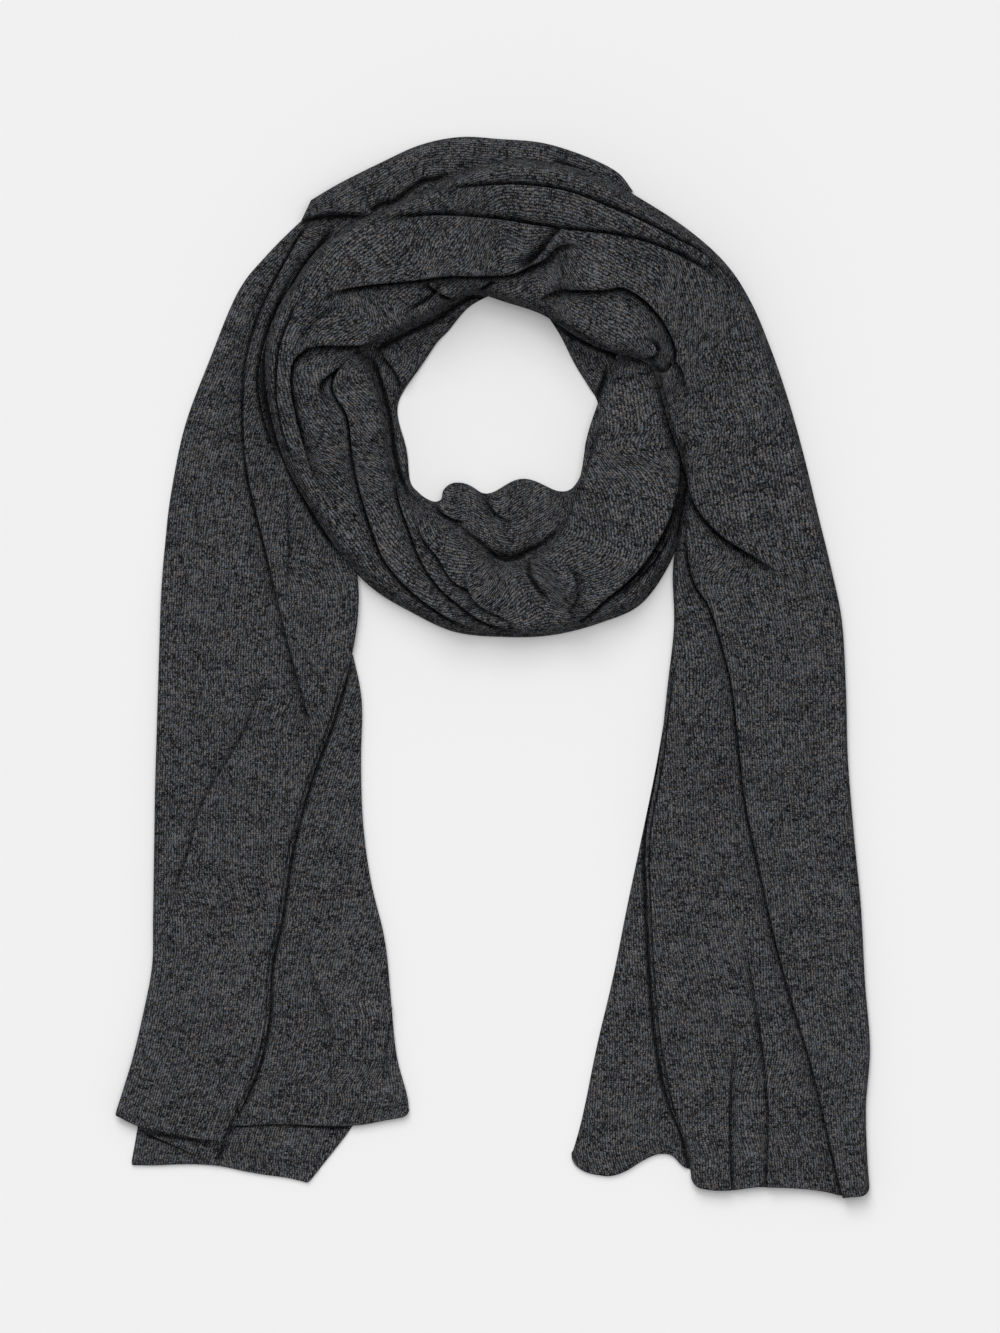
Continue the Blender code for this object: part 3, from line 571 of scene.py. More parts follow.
def by_density(density: np.ndarray, at: np.ndarray, count: int) -> np.ndarray:
    """Places spaced by how dense they are to be, with the first and the last of the readings among them.

    Args:
        density: how close together the places are to be, at each reading.
        at: the readings' own places.
        count: number of places.

    Returns:
        The places.
    """
    total = np.concatenate([[0.0], np.cumsum((density[1:] + density[:-1]) / 2 * np.diff(at))])
    return np.interp(np.linspace(0.0, total[-1], count), total, at)


def widths(ends: np.ndarray) -> np.ndarray:
    """The widths of sections, as a column."""
    return np.linalg.norm(ends[:, 2:4] - ends[:, 0:2], axis=1, keepdims=True)


def places(ends: np.ndarray, across: np.ndarray) -> tuple:
    """The places of points at distances from each section's outer end, and each section's way inward."""
    inward = (ends[:, 2:4] - ends[:, 0:2]) / widths(ends)
    return ends[:, None, 0:2] + inward[:, None] * across[..., None], inward


def quads(ids: np.ndarray) -> list:
    """The faces between the rows and columns of a grid of point numbers."""
    corners = np.stack([ids[:-1, :-1], ids[:-1, 1:], ids[1:, 1:], ids[1:, :-1]], axis=2)
    return [tuple(face) for face in corners.reshape(-1, 4).tolist()]


def in_scene(name: str, data: bpy.types.ID) -> bpy.types.Object:
    """Puts a new object in the scene.

    Args:
        name: the object's name.
        data: its mesh, lamp or camera.

    Returns:
        The object, at the origin.
    """
    thing = bpy.data.objects.new(name, data)
    bpy.context.scene.collection.objects.link(thing)
    return thing


class Course:
    """A smooth line along a fold or a rise, which says how points lie beside it."""

    def __init__(self, crease: Fold | Rise) -> None:
        """Draws the line.

        Args:
            crease: the fold or the rise.
        """
        self.over, self.fades = crease.over, crease.fades
        rows = in_millimetres([[float(part) for part in place.split(",")] for place in crease.course.split()])
        self.line = through_rows(rows, np.linspace(0, len(rows) - 1, COURSE_POINTS))
        steps = np.linalg.norm(np.diff(self.line, axis=0), axis=1)
        self.run = np.concatenate([[0.0], np.cumsum(steps)])
        ahead = np.gradient(self.line, axis=0)
        self.ahead = ahead / np.linalg.norm(ahead, axis=1, keepdims=True)

    def beside(self, plan: np.ndarray, within: float) -> tuple:
        """How points lie beside the line.

        Args:
            plan: places of the points, in millimetres, in an array of any shape by 2.
            within: distance past which a point isn't asked for, and has no strength.

        Returns:
            The distances, the unit vectors towards the positive side, and the line's strength at each point.
        """
        points = plan.reshape(-1, 2)
        low, high = self.line.min(axis=0) - within, self.line.max(axis=0) + within
        near = np.flatnonzero(((points > low) & (points < high)).all(axis=1))
        beside = np.full(len(points), FAR_OFF)
        side = np.zeros((len(points), 2))
        strength = np.zeros(len(points))
        if len(near):
            close = points[near]
            apart = (close ** 2).sum(axis=1)[:, None] + (self.line ** 2).sum(axis=1)[None] - 2 * close @ self.line.T
            nearest = apart.argmin(axis=1)
            ahead = self.ahead[nearest]
            from_line = close - self.line[nearest]
            to_side = self.over * np.stack([ahead[:, 1], -ahead[:, 0]], axis=1)
            share = (self.run[nearest] + (from_line * ahead).sum(axis=1)) / self.run[-1]
            fade_in, fade_out = np.maximum(self.fades, 1e-6)
            beside[near] = (from_line * to_side).sum(axis=1)
            side[near] = to_side
            strength[near] = smooth_step(share / fade_in) * smooth_step((1.0 - share) / fade_out)
        shape = plan.shape[:-1]
        return beside.reshape(shape), side.reshape(*shape, 2), strength.reshape(shape)


@dataclass(frozen=True)
class Hem:
    """A sewn hem at the end of a stretch.

    Args:
        waves: how far the hem runs past its straight line at evenly spaced places, in photograph pixels.
        plies: plies that show in its end.
        corner: radius of its corners in millimetres.
    """

    waves: tuple
    plies: int = 2
    corner: float = 1.5

    def least(self) -> float:
        """How far the hem's underside runs past its straight line: a little less than any of its waves."""
        return min(self.waves) * PIXEL / MM - 0.5

    def past(self, across: np.ndarray, width: np.ndarray, to_end: np.ndarray) -> np.ndarray:
        """How far points are moved onward, so that the hem runs in its waves, with round corners.

        Args:
            across: the points' distances from each section's outer end.
            width: each section's width, as a column.
            to_end: each section's distance from the stretch's end.

        Returns:
            The distances.
        """
        waves = np.array(self.waves)[:, None] * PIXEL / MM
        share = across / width
        past = through_rows(waves, np.clip(share.ravel(), 0, 1) * (len(waves) - 1)).reshape(share.shape)
        bend = 1.0 - np.clip(np.minimum(across, width - across) / self.corner, 0.0, 1.0)
        corner = self.corner * (1.0 - np.sqrt(1.0 - np.minimum(bend, 0.999) ** 2))
        return past * np.exp(-to_end / HEM_WAVE_REACH)[:, None] - corner * np.exp(-to_end / self.corner)[:, None]

    def raised(self, height: np.ndarray, low: np.ndarray, to_end: np.ndarray) -> np.ndarray:
        """The heights near the hem: thicker over the turned-up cloth, with a groove at its seam and a rounded end.

        Args:
            height: the heights without the hem.
            low: each section's mean height of the underside, as a column.
            to_end: each section's distance from the stretch's end.

        Returns:
            The heights.
        """
        doubled = HEM_RIDGE * smooth_step((HEM_DEPTH - to_end) / HEM_STEP)
        seam = -HEM_RIDGE * bell((to_end - HEM_DEPTH) / HEM_SEAM)
        height = height + (doubled + seam)[:, None]
        rounding = 1.0 - np.sqrt(1.0 - (1.0 - np.clip(to_end / HEM_ROUND, 0, 1)) ** 2)
        return low + (height - low) * (1.0 - 0.5 / self.plies * rounding)[:, None]

    def end(self, place: np.ndarray, height: np.ndarray, low: float, onward: np.ndarray) -> list:
        """The end below the hem's top ply, where the plies lie one on the other.

        Args:
            place: places of the last section's top.
            height: its heights.
            low: height of the underside.
            onward: the way on past the end.

        Returns:
            Rows of points, one for each line down the end.
        """
        share = np.linspace(0.0, 1.0, len(place))
        whole = (height - low) / (1.0 - 0.5 / self.plies)
        lines = []
        for ply in range(self.plies):
            peek = (PEEK * np.sin(PEEK_TURNS * share + PEEK_STEP * ply) - PEEK_BACK) * (ply > 0)
            profile = PLY_END if ply else PLY_END[TOP_PLY_FROM:]
            for down, inset in profile[:-1] if ply == self.plies - 1 else profile:
                up = low + whole * (1.0 - (ply + down) / self.plies)
                lines.append(np.column_stack([place + (peek - inset)[:, None] * onward, up]))
        return lines


@dataclass(frozen=True)
class Stretch:
    """A stretch of the cloth, which makes its own skin.

    Args:
        name: name of the piece.
        nodes: CAD nodes that the piece stands for.
        path: sections that it runs through.
        folds: its folds.
        rises: its smaller ridges, troughs and slits.
        rumple: its unevenness.
        plies: plies that show in its long edges.
        points: number of sections along it, of points across its top, and of points across its underside.
        cut: width and length of the cloth that shows, laid out flat, in metres; not used.
        held: how the cloth is held; not used.
        rests_on: names of the other pieces that it lies on; not used.
        hem: its hem, or None.
        shelf: shares of the width between which the underside climbs to the inner lift.
    """

    name: str
    nodes: tuple
    path: tuple
    folds: tuple
    rises: tuple
    rumple: Rumple
    plies: int
    points: tuple
    cut: tuple
    held: Held
    rests_on: tuple
    hem: Hem | None = None
    shelf: tuple = (0.0, 1.0)

    def make(self) -> bpy.types.Object:
        """Makes the stretch's closed skin and its UV map.

        Returns:
            The new object, at the origin and in the scene.
        """
        ends, across, run = self.survey()
        top, height, painted_shade = self.folded_top(ends, across, run)
        bottom, floor = self.underside(ends)
        to_end = run[-1] - run
        hem_lines = []
        if self.hem:
            middle = (ends[:, 0:2] + ends[:, 2:4]) / 2
            way = middle[-1] - middle[-20]
            onward = way / np.linalg.norm(way)
            top = top + self.hem.past(across, widths(ends), to_end)[..., None] * onward
            bottom = bottom + (self.hem.least() * np.exp(-to_end / HEM_WAVE_REACH))[:, None, None] * onward
            low = floor.mean(axis=1, keepdims=True)
            height = self.hem.raised(height, low, to_end)
            hem_lines = self.hem.end(top[-1], height[-1], low[-1], onward)
        upper = np.concatenate([top, height[..., None]], axis=2)
        lower = np.concatenate([bottom, floor[..., None]], axis=2)
        return self.skin(upper, lower, hem_lines, to_end, painted_shade)

    def survey(self) -> tuple:
        """Lays out the stretch's sections and the points across each, closer together at folds, slits and edges.

        Returns:
            The sections as rows of millimetres, the points' distances from each outer end, and each section's run.
        """
        stations, columns, _ = self.points
        rows = np.array([section.as_row() for section in self.path])
        fine = through_rows(rows, np.linspace(0, len(rows) - 1, READINGS_PER_ROW * (len(rows) - 1) + 1))
        fine[:, 5:7] = np.maximum(fine[:, 5:7], 0.0)
        middle = (fine[:, 0:2] + fine[:, 2:4]) / 2
        run = np.concatenate([[0.0], np.cumsum(np.linalg.norm(np.diff(middle, axis=0), axis=1))])
        coarse = np.linspace(0.0, run[-1], int(run[-1] / SURVEY_STEP) + 2)
        ends = read_columns(fine, run, coarse)
        width = widths(ends)
        across = np.linspace(0.0, 1.0, SURVEY_COLUMNS)[None] * width
        plan, inward = places(ends, across)
        lengthwise = np.stack([-inward[:, 1], inward[:, 0]], axis=1)
        crowded = 1.0 + EDGE_CROWD * np.exp(-across / EDGE_REACH) + EDGE_CROWD * np.exp(-(width - across) / EDGE_REACH)
        busy = np.zeros(len(coarse))
        for crease in (*self.folds, *(rise for rise in self.rises if rise.is_slit)):
            beside, side, strength = Course(crease).beside(plan, SURVEY_REACH)
            reach, crowd = crease.crowding
            close = strength * bell(beside / reach)
            crowded += crowd * close * np.abs((side * inward[:, None]).sum(axis=2))
            busy = np.maximum(busy, (close * np.abs((side * lengthwise[:, None]).sum(axis=2))).max(axis=1))
        if self.hem:
            busy = busy + HEM_CROWD * smooth_step((HEM_DEPTH + 6.0 - (run[-1] - coarse)) / 4.0)
        spread = evened(np.stack([by_density(d, a, columns) for d, a in zip(crowded, across)]), times=6)
        at = by_density(evened(1.0 + BUSY_CROWD * busy, times=4), coarse, stations)
        if self.hem:
            at = np.sort(np.append(at[:-1], run[-1] - HEM_ROUND * np.array([1.0, 0.6, 0.3, 0.1, 0.0])))
        return read_columns(fine, run, at), read_columns(spread, coarse, at), at

    def edge_height(self, distance: np.ndarray, soft: np.ndarray) -> np.ndarray:
        """The share of the full height at a distance from an edge: one rounded ply stands on the next."""
        steps = [np.clip((distance - PLY_STEP * k * soft) / soft, 0.0, 1.0) for k in range(self.plies)]
        return sum(np.sqrt(1.0 - (1.0 - s) ** 2) for s in steps) / self.plies

    def lifted(self, ends: np.ndarray, across: np.ndarray) -> np.ndarray:
        """The underside's heights, which climb from the outer lift to the inner one over the shelf."""
        climb = smooth_step((across / widths(ends) - self.shelf[0]) / (self.shelf[1] - self.shelf[0]))
        return ends[:, 5:6] + (ends[:, 6:7] - ends[:, 5:6]) * climb

    def folded_top(self, ends: np.ndarray, across: np.ndarray, run: np.ndarray) -> tuple:
        """The top of each section, with its folds, rises and rumples.

        Args:
            ends: the sections.
            across: the points' distances from each outer end.
            run: each section's run.

        Returns:
            The points' places in plan and heights in millimetres, and each one's painted shade in a crease or slit.
        """
        crown, outer_lift, inner_lift, soft = (ends[:, i:i + 1] for i in range(4, 8))
        width = widths(ends)
        soft = np.minimum(soft, MOST_ROUND * width)
        edges = self.edge_height(across, soft) * self.edge_height(width - across, soft)
        base = outer_lift + (inner_lift - outer_lift) * across / width
        base = base + EDGE_BELLY * np.minimum(crown - base, THICK)
        flat_plan, _ = places(ends, across)
        plan, height = flat_plan.copy(), base + (crown - base) * edges
        # painted shade for each top point: darkening laid into the colour along each fold's crease, on the lower ply
        # beside it and in slits
        painted_shade = np.zeros(height.shape)
        for fold in self.folds:
            beside, side, strength = Course(fold).beside(flat_plan, fold.within)
            lift, shift, dark = fold.form(beside, strength * edges)
            height += lift
            plan -= shift[..., None] * side
            painted_shade = np.maximum(painted_shade, dark)
        for rise in self.rises:
            beside, _, strength = Course(rise).beside(flat_plan, rise.within)
            height += rise.height * strength * edges * bell(beside / rise.width)
            # a narrow slit gets painted shade along its bottom, kept with the folds' painted shade
            if rise.is_slit:
                painted_shade = np.maximum(painted_shade, strength * bell(beside / (SLIT_PAINTED_SHADE * rise.width)))
        height += self.rumple.at(across, run[:, None]) * edges * np.minimum(1.0, (crown - base) / THICK)
        return plan, np.maximum(height, self.lifted(ends, across) + LEAST_PLY), painted_shade

    def underside(self, ends: np.ndarray) -> tuple:
        """The places and heights of the underside's points, from each section's outer end to its inner one."""
        across = EDGE_TUCK + np.linspace(0.0, 1.0, self.points[2])[None] * (widths(ends) - 2 * EDGE_TUCK)
        return places(ends, across)[0], self.lifted(ends, across)

    def skin(self, upper: np.ndarray, lower: np.ndarray, hem_lines: list, to_end: np.ndarray,
             painted_shade: np.ndarray) -> bpy.types.Object:
        """Joins the top, the underside and the hem's end into one closed mesh with a UV map in metres.

        Args:
            upper: the top's points, by section.
            lower: the underside's points, by section.
            hem_lines: lines of points down the hem's end.
            to_end: each section's distance from the stretch's end.
            painted_shade: how much painted shade each of the top's points gets in a crease or slit, from 0 to 1.

        Returns:
            The new object.
        """
        points = np.concatenate([upper.reshape(-1, 3), lower.reshape(-1, 3), *hem_lines])
        ids = np.arange(len(points))
        tops, lows = painted_shade.size, lower.shape[0] * lower.shape[1]
        top_ids = ids[:tops].reshape(painted_shade.shape)
        low_ids = ids[tops:tops + lows].reshape(lower.shape[:2])
        arc = np.concatenate([low_ids[:, :1], top_ids, low_ids[:, -1:]], axis=1)
        faces = [*quads(arc), *quads(low_ids[:, ::-1])]
        last = top_ids[-1]
        for line in ids[tops + lows:].reshape(-1, len(last)):
            faces += quads(np.stack([last, line]))
            faces += [(low_ids[-1, 0], last[0], line[0]), (last[-1], low_ids[-1, -1], line[-1])]
            last = line
        smooth = len(faces)
        faces += [(*arc[0][::-1], *low_ids[0][1:-1]), (low_ids[-1, 0], *last, *low_ids[-1][::-1][:-1])]
        mesh = bpy.data.meshes.new(self.name)
        mesh.from_pydata((points * MM).tolist(), [], faces)
        self.turn_outward(mesh)
        mesh.polygons.foreach_set("use_smooth", np.arange(len(faces)) < smooth)
        self.map_cloth(mesh, self.cloth_places(upper, lower, len(hem_lines), to_end))
        # the painted shade goes into the mesh as the point attribute "crease", which darkens the knit's colour
        depth = np.zeros(len(points), np.float32)
        depth[:tops] = painted_shade.ravel()
        mesh.attributes.new("crease", "FLOAT", "POINT").data.foreach_set("value", depth)
        return in_scene(self.name, mesh)

    @staticmethod
    def turn_outward(mesh: bpy.types.Mesh) -> None:
        """Flips the mesh where its signed volume is below 0, so that its normals point out.

        Args:
            mesh: the mesh.
        """
        mesh.calc_loop_triangles()
        corners = np.empty(3 * len(mesh.loop_triangles), np.int32)
        mesh.loop_triangles.foreach_get("vertices", corners)
        points = np.empty(3 * len(mesh.vertices), np.float32)
        mesh.vertices.foreach_get("co", points)
        a, b, c = points.reshape(-1, 3).astype(float)[corners.reshape(-1, 3)].transpose(1, 0, 2)
        if (a * np.cross(b, c)).sum() < 0:
            mesh.flip_normals()

    @staticmethod
    def cloth_places(upper: np.ndarray, lower: np.ndarray, hem_lines: int, to_end: np.ndarray) -> np.ndarray:
        """Each point's place on the cloth, across and along it, in metres.

        Across is measured over the folds from the outer edge, and along from the stretch's end. Where the cloth is
        gathered into the ring, it is pulled sideways, and less of it lies across.

        Args:
            upper: the top's points, by section.
            lower: the underside's points, by section.
            hem_lines: number of lines down the hem's end.
            to_end: each section's distance from the stretch's end.

        Returns:
            A row for each point, in the mesh's order.
        """
        pull = 1.0 + SIDE_PULL * smooth_step(scaled(upper[..., 2].max(axis=1, keepdims=True), GATHERED))
        parts = []
        for grid in (upper, lower):
            wide = np.linalg.norm(np.diff(grid, axis=1), axis=2).cumsum(axis=1) / pull
            wide = evened(np.concatenate([np.zeros((len(grid), 1)), wide], axis=1), times=40)
            parts.append(np.stack([wide, np.broadcast_to(to_end[:, None], wide.shape)], axis=2))
        last = parts[0][-1]
        lines = [last - [0.0, HEM_LINE_STEP * (k + 1)] for k in range(hem_lines)]
        return np.concatenate([*(part.reshape(-1, 2) for part in parts), *lines]) * MM

    def map_cloth(self, mesh: bpy.types.Mesh, on_cloth: np.ndarray) -> None:
        """Gives the mesh a UV map with each corner's place on the cloth.

        Args:
            mesh: the mesh.
            on_cloth: each point's place on the cloth.
        """
        corners = np.empty(len(mesh.loops), np.int32)
        mesh.loops.foreach_get("vertex_index", corners)
        uv = on_cloth[corners].astype(np.float32)
        if not self.hem:
            uv[:, 1] += 1.0
        mesh.uv_layers.new(name="cloth").uv.foreach_set("vector", uv.ravel())


def add_node(tree: bpy.types.NodeTree, kind: str, inputs: dict, **settings: object) -> bpy.types.Node:
    """Adds a node to a tree.

    Args:
        tree: the tree.
        kind: the node's type.
        inputs: what its inputs get, by name or number: a socket to link, or a value to set.
        settings: its other properties.

    Returns:
        The node.
    """
    node = tree.nodes.new(kind)
    for name, value in settings.items():
        setattr(node, name, value)
    for name, value in inputs.items():
        if isinstance(value, bpy.types.NodeSocket):
            tree.links.new(value, node.inputs[name])
        else:
            node.inputs[name].default_value = value
    return node


@dataclass(frozen=True)
class Signal:
    """A value in a shader group. Arithmetic on it, with other values or with numbers, adds nodes to the group.

    Args:
        socket: the output that carries it.
    """

    socket: bpy.types.NodeSocket

    def through(self, kind: str, *inputs: object, clamp: bool = False) -> "Signal":
        """The result of one more math node.

        Args:
            kind: what the node does.
            inputs: values or numbers for its inputs; if there are none, the value itself.
            clamp: whether its result is kept between 0 and 1.

        Returns:
            The result.
        """
        sockets = [getattr(value, "socket", value) for value in inputs or (self,)]
        return Signal(add_node(self.socket.id_data, "ShaderNodeMath", dict(enumerate(sockets)), operation=kind,
                               use_clamp=clamp).outputs[0])

    def __add__(self, other: "Signal | float") -> "Signal":
        """The sum."""
        return self.through("ADD", self, other)

    def __sub__(self, other: "Signal | float") -> "Signal":
        """The difference."""
        return self.through("SUBTRACT", self, other)

    def __rsub__(self, other: float) -> "Signal":
        """The difference from a number."""
        return self.through("SUBTRACT", other, self)

    def __mul__(self, other: "Signal | float") -> "Signal":
        """The product."""
        return self.through("MULTIPLY", self, other)

    def __truediv__(self, other: "Signal | float") -> "Signal":
        """The quotient."""
        return self.through("DIVIDE", self, other)


@dataclass(frozen=True)
class Jersey:
    """The finish of the knit: charcoal melange jersey, matt, with a soft fuzz.

    Args:
        dark: colour of the dark fibres.
        pale: colour of the warm pale fibres.
        cool: colour of the bluish pale ones.
        wale: distance between the columns of stitches, in metres.
        stitch: height of a stitch, in metres.
        relief: depth of the stitches, in metres.
        shades: how much a leg's own shade counts, and how much a loop's.
        contrast: the mixed shade's middle, the contrast round it, and the level it is brought to.
        painted_stitch_shade: the stitches' rounding as painted light and shade: how much light it takes, and how much
            it leaves.
        depth: the power of the light on the fibres.
        fuzz: share of the fibres in the relief.
        painted_crease_shade: how much of the pale colours is lost at the bottom of a crease, as painted shade.
        noises: for the wander of the columns, the fibres, the yarns and the patches: the size across and along in
            metres, the detail, the seed and the weight.
    """

    dark: tuple = (0.004, 0.004, 0.0045, 1.0)
    pale: tuple = (0.166, 0.151, 0.140, 1.0)
    cool: tuple = (0.122, 0.138, 0.163, 1.0)
    wale: float = 0.0016
    stitch: float = 0.00145
    relief: float = 0.00035
    shades: tuple = (0.56, 0.26)
    contrast: tuple = (0.39, 1.25, 0.52)
    painted_stitch_shade: tuple = (0.85, 0.4)
    depth: float = 1.7
    fuzz: float = 0.5
    painted_crease_shade: float = 0.88
    noises: tuple = ((0.012, 0.03, 2.0, 4.83, 0.7), (0.0006, 0.00065, 0.0, 1.37, 1.4),
                     (0.0080, 0.0022, 2.0, 7.61, 0.5), (0.030, 0.012, 1.0, 13.29, 0.3))

    def material(self) -> bpy.types.Material:
        """The knit's material, whose colour and relief come from the shared group.

        Returns:
            The material.
        """
        material = bpy.data.materials.new("jersey")
        material.use_nodes = True
        tree = material.node_tree
        tree.nodes.clear()
        knit = add_node(tree, "ShaderNodeGroup", {}, node_tree=self.group()).outputs
        surface = add_node(tree, "ShaderNodeBsdfPrincipled", {
            "Roughness": 0.95, "Specular IOR Level": 0.0, "Base Color": knit["Color"], "Normal": knit["Normal"]})
        add_node(tree, "ShaderNodeOutputMaterial", {0: surface.outputs[0]})
        return material

    @staticmethod
    def noise(place: bpy.types.NodeSocket, across: float, along: float, detail: float, seed: float) -> Signal:
        """Soft noise drawn on the cloth.

        Args:
            place: the place on the cloth.
            across: the noise's size across the cloth, in metres.
            along: its size along the cloth.
            detail: how many finer noises are in it.
            seed: number that sets it apart from the others.

        Returns:
            The noise, about 0.5 in the middle.
        """
        steps = {0: place, 1: (1.0 / across, 1.0 / along, 1.0), 2: (seed, 2.0 * seed, 3.0 * seed)}
        grown = add_node(place.id_data, "ShaderNodeVectorMath", steps, operation="MULTIPLY_ADD").outputs[0]
        return Signal(add_node(place.id_data, "ShaderNodeTexNoise", {
            "Vector": grown, "Scale": 1.0, "Detail": detail, "Roughness": 0.6}).outputs[0])

    @staticmethod
    def fleck(across: Signal, along: Signal) -> Signal:
        """A random value for each cell of a grid.

        Args:
            across: the cell's number across the cloth, with a fraction.
            along: its number along the cloth.

        Returns:
            The value, from 0 to 1.
        """
        tree = across.socket.id_data
        numbers = {0: across.through("FLOOR").socket, 1: along.through("FLOOR").socket}
        cell = add_node(tree, "ShaderNodeCombineXYZ", numbers).outputs[0]
        return Signal(add_node(tree, "ShaderNodeTexWhiteNoise", {"Vector": cell}).outputs["Value"])

    def group(self) -> bpy.types.NodeTree:
        """A shader node group that draws the knit.

        Stitches: each column is a rounded ridge, and its courses bend down on both sides of the ridge's middle,
        so that they read as a V. The stitches' rounding is also painted into the colour, as painted light on each
        stitch and painted shade between them. Fibres: each leg and each loop of a stitch has its own tone, and three
        noises add single fibres, uneven yarns and wide patches. The mesh's crease attribute darkens the colour as
        painted shade in each fold's crease and slit.

        Returns:
            The group, with the outputs Color and Normal.
        """
        tree = bpy.data.node_groups.new("knit", "ShaderNodeTree")
        for name, kind in (("Color", "NodeSocketColor"), ("Normal", "NodeSocketVector")):
            tree.interface.new_socket(name, in_out="OUTPUT", socket_type=kind)
        place = add_node(tree, "ShaderNodeUVMap", {}, uv_map="cloth").outputs[0]
        across, along, _ = add_node(tree, "ShaderNodeSeparateXYZ", {0: place}).outputs
        wander, *mottles = ((self.noise(place, *row[:4]), row[4]) for row in self.noises)
        column = Signal(across) / self.wale + (wander[0] - 0.5) * wander[1]
        from_middle = (column.through("FRACT") - 0.5).through("ABSOLUTE")
        ridge = (from_middle * math.pi).through("COSINE")
        course = Signal(along) / self.stitch + from_middle
        bead = (course * math.pi).through("SINE").through("ABSOLUTE")
        stitch = ridge * (bead * 0.5 + 0.5)
        leg, loop = self.fleck(column * 2.0, course), self.fleck(column, course + 40.0)
        mixed = leg * self.shades[0] + loop * self.shades[1]
        for mottle, weight in mottles:
            mixed = mixed + (mottle - 0.5) * weight
        mixed = (mixed - self.contrast[0]) * self.contrast[1] + self.contrast[2]
        # painted light on each stitch's rounding and painted shade between the stitches, multiplied into the fibres'
        # tone
        painted_stitch_shade = mixed.through("MULTIPLY", mixed, stitch * self.painted_stitch_shade[0] + self.painted_stitch_shade[1], clamp=True)
        tone = painted_stitch_shade.through("POWER", painted_stitch_shade, self.depth, clamp=True)
        # painted shade in a fold's crease or a slit, read from the mesh's attribute
        crease = Signal(add_node(tree, "ShaderNodeAttribute", {}, attribute_name="crease").outputs["Fac"])
        hue = add_node(tree, "ShaderNodeMix", {
            "Factor": (loop * 7.3).through("FRACT").socket, "A": self.cool, "B": self.pale}, data_type="RGBA")
        colour = add_node(tree, "ShaderNodeMix", {
            "Factor": (tone * (1.0 - crease * self.painted_crease_shade)).socket, "A": self.dark,
            "B": hue.outputs["Result"]}, data_type="RGBA")
        bump = add_node(tree, "ShaderNodeBump", {
            "Strength": 0.8, "Distance": self.relief, "Height": (stitch + mottles[0][0] * self.fuzz).socket})
        add_node(tree, "NodeGroupOutput", {"Color": colour.outputs["Result"], "Normal": bump.outputs[0]})
        return tree


STRETCHES = (
    Stretch("tail_left_under_cloth", ("tail_left_under",), TAIL_LEFT_UNDER_PATH, (), TAIL_LEFT_UNDER_RISES,
            Rumple(0.25, seed=3), 1, (200, 110, 8), (0.135, 0.338), Held.LAID, (),
            Hem((0.0, -2.0, -5.5, -7.8, -7.6, -5.0, -3.2, -2.2, 1.0), 1)),
    Stretch("tail_left_middle_cloth", ("tail_left_middle",), TAIL_LEFT_MIDDLE_PATH, (), TAIL_LEFT_MIDDLE_RISES,
            Rumple(0.1, seed=4), 1, (90, 60, 8), (0.043, 0.052), Held.LAID, ("tail_left_under_cloth",),
            Hem((0.0, 0.0, 0.0, 0.0), 1)),
    Stretch("tail_left_inner_cloth", ("tail_left_inner",), TAIL_LEFT_INNER_PATH, TAIL_LEFT_INNER_FOLDS,
            TAIL_LEFT_INNER_RISES, Rumple(0.35, seed=5), 1, (190, 80, 8), (0.072, 0.285), Held.LAID,
            ("tail_left_under_cloth",), Hem((-3.0, -2.0, -1.0, 1.5, 4.8, 7.5, 8.6, 6.5, 4.5), 1, 4.0)),
    Stretch("tail_left_front_cloth", ("tail_left_front",), TAIL_LEFT_FRONT_PATH, TAIL_LEFT_FOLDS, TAIL_LEFT_RISES,
            Rumple(0.5, seed=6), 2, (460, 180, 12), (0.088, 0.59), Held.LAID, ("tail_left_inner_cloth",),
            Hem((0.0, 4.0, 3.0, 1.0, -1.5, -6.0), 2), (0.5, 0.75)),
    Stretch("tail_right_back_cloth", ("tail_right_back",), TAIL_RIGHT_BACK_PATH, (), TAIL_RIGHT_BACK_RISES,
            Rumple(0.3, seed=7), 2, (220, 130, 8), (0.139, 0.357), Held.LAID, (),
            Hem((3.0,) * 11 + (6.0, 4.0, -7.0, -7.5, 0.0, 10.5, 16.4, 16.0, 13.0, 4.0), 2, 4.5)),
    Stretch("loop_back_cloth", ("loop_back",), LOOP_BACK_PATH, LOOP_BACK_FOLDS, LOOP_BACK_RISES,
            Rumple(0.6, 16.0, 60.0, seed=8), 2, (420, 90, 8), (0.042, 0.386), Held.FOLDED, ()),
    Stretch("band_top_cloth", ("band_top",), BAND_TOP_PATH, (), BAND_TOP_RISES, Rumple(0.5, 14.0, 70.0, seed=9), 1,
            (200, 90, 8), (0.027, 0.205), Held.FOLDED, ("tail_left_front_cloth",)),
    Stretch("front_cloth", ("loop_front", "cross_front", "tail_right_front"), FRONT_PATH, FRONT_FOLDS, FRONT_RISES,
            Rumple(0.6, 24.0, 110.0, seed=10), 2, (620, 145, 12), (0.0885, 1.487), Held.FOLDED,
            ("tail_left_front_cloth", "loop_back_cloth", "tail_right_back_cloth", "band_top_cloth"),
            Hem((2.0, 5.0, 0.5, -2.0, -2.6, -2.2, 1.0, 2.6, 0.0), 3, 6.0), (0.22, 0.6)),
)


@dataclass(frozen=True)
class TravelWrap:
    """The whole wrap: its stretches in their finish.

    Args:
        stretches: the stretches of the cloth.
        finish: their finish.
    """

    stretches: tuple = STRETCHES
    finish: Jersey = Jersey()

    def build(self) -> None:
        material = self.finish.material()
        for stretch in self.stretches:
            piece = stretch.make()
            piece.data.materials.append(material)
            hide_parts(*stretch.nodes)
            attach(piece, "root")
            LOG.info("%s: %d faces", piece.name, len(piece.data.polygons))


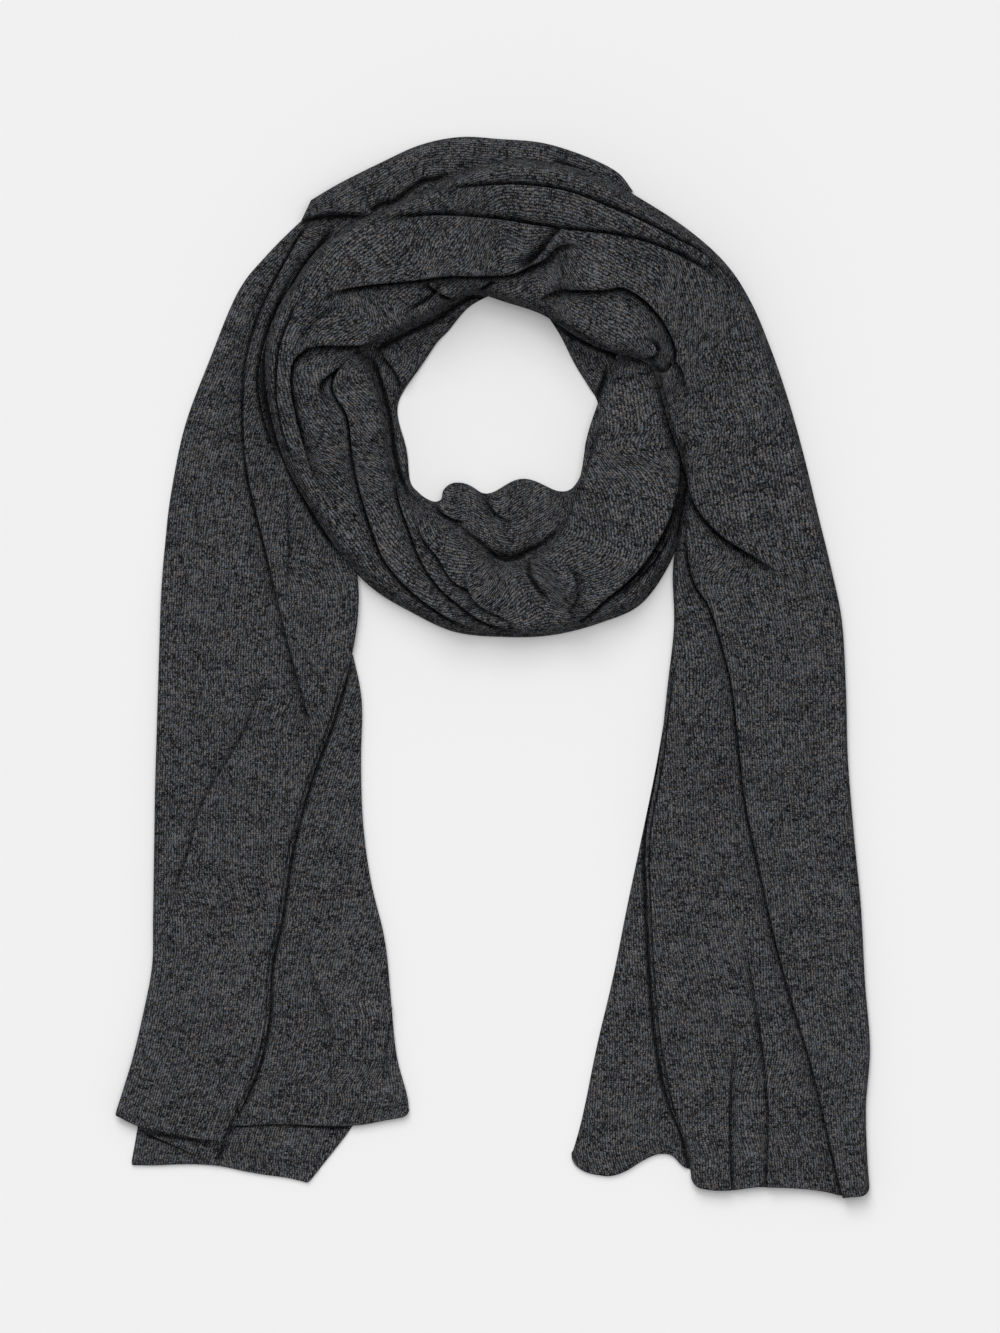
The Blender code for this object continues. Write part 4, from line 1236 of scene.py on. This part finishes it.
@dataclass(frozen=True)
class Lamp:
    """A soft lamp, far enough away to light the floor evenly.

    Args:
        name: name of the lamp.
        towards: the way from the wrap to the lamp.
        spread: how wide the lamp looks from the wrap, in radians.
        power: its light on a surface that faces it, in watts per square metre.
    """

    name: str
    towards: tuple
    spread: float
    power: float

    def make(self) -> None:
        """Puts the lamp in the scene, facing the wrap."""
        light = bpy.data.lights.new(self.name, "SUN")
        light.angle = self.spread
        light.energy = self.power
        lamp = in_scene(self.name, light)
        lamp.location = Vector(self.towards).normalized() * 3.0
        lamp.rotation_mode = "QUATERNION"
        lamp.rotation_quaternion = (-Vector(self.towards)).to_track_quat("-Z", "Y")


@dataclass(frozen=True)
class Studio:
    """The pale floor, the soft light and the camera straight above.

    Args:
        floor_size: width of the floor, in metres.
        floor_drop: how far it lies below the wrap, in metres.
        floor_tone: its grey.
        sky: strength of the light from all round.
        lamps: its lamps.
        height: height of the camera.
    """

    floor_size: float = 12.0
    floor_drop: float = 0.0003
    floor_tone: float = 0.84
    sky: float = 0.33
    lamps: tuple = (Lamp("key", (-0.25, 1.0, 1.2), 0.6, 1.1), Lamp("overhead", (0.0, 0.15, 1.0), 0.8, 1.43))
    height: float = 2.5

    def build(self) -> None:
        """Makes the floor, the light and the camera."""
        mesh = bpy.data.meshes.new("floor")
        half = self.floor_size / 2
        corners = [(x, y, -self.floor_drop) for x, y in ((-half, -half), (half, -half), (half, half), (-half, half))]
        mesh.from_pydata(corners, [], [(0, 1, 2, 3)])
        floor = in_scene("floor", mesh)
        material = bpy.data.materials.new("floor")
        material.use_nodes = True
        surface = material.node_tree.nodes["Principled BSDF"]
        surface.inputs["Base Color"].default_value = (self.floor_tone, self.floor_tone, self.floor_tone, 1.0)
        surface.inputs["Roughness"].default_value = 1.0
        surface.inputs["Specular IOR Level"].default_value = 0.0
        mesh.materials.append(material)
        world = bpy.data.worlds.new("studio")
        world.use_nodes = True
        world.node_tree.nodes["Background"].inputs[0].default_value = (1.0, 1.0, 1.0, 1.0)
        world.node_tree.nodes["Background"].inputs[1].default_value = self.sky
        bpy.context.scene.world = world
        for lamp in self.lamps:
            lamp.make()
        self.camera()
        bpy.context.scene.view_settings.view_transform = "Standard"

    def camera(self) -> None:
        """Sets the camera straight above the photograph's middle, with the photograph's reach."""
        lens = bpy.data.cameras.new("camera")
        lens.type = "ORTHO"
        lens.sensor_fit = "VERTICAL"
        lens.ortho_scale = PHOTO_SIZE[1] * PIXEL
        eye = in_scene("camera", lens)
        eye.location = (*(in_millimetres(PHOTO_SIZE / 2) * MM), self.height)
        bpy.context.scene.camera = eye


def main() -> None:
    """Builds the wrap and its studio."""
    logging.basicConfig(level=logging.INFO, format="%(name)s: %(message)s")
    TravelWrap().build()
    Studio().build()


if __name__ == "__main__":
    main()
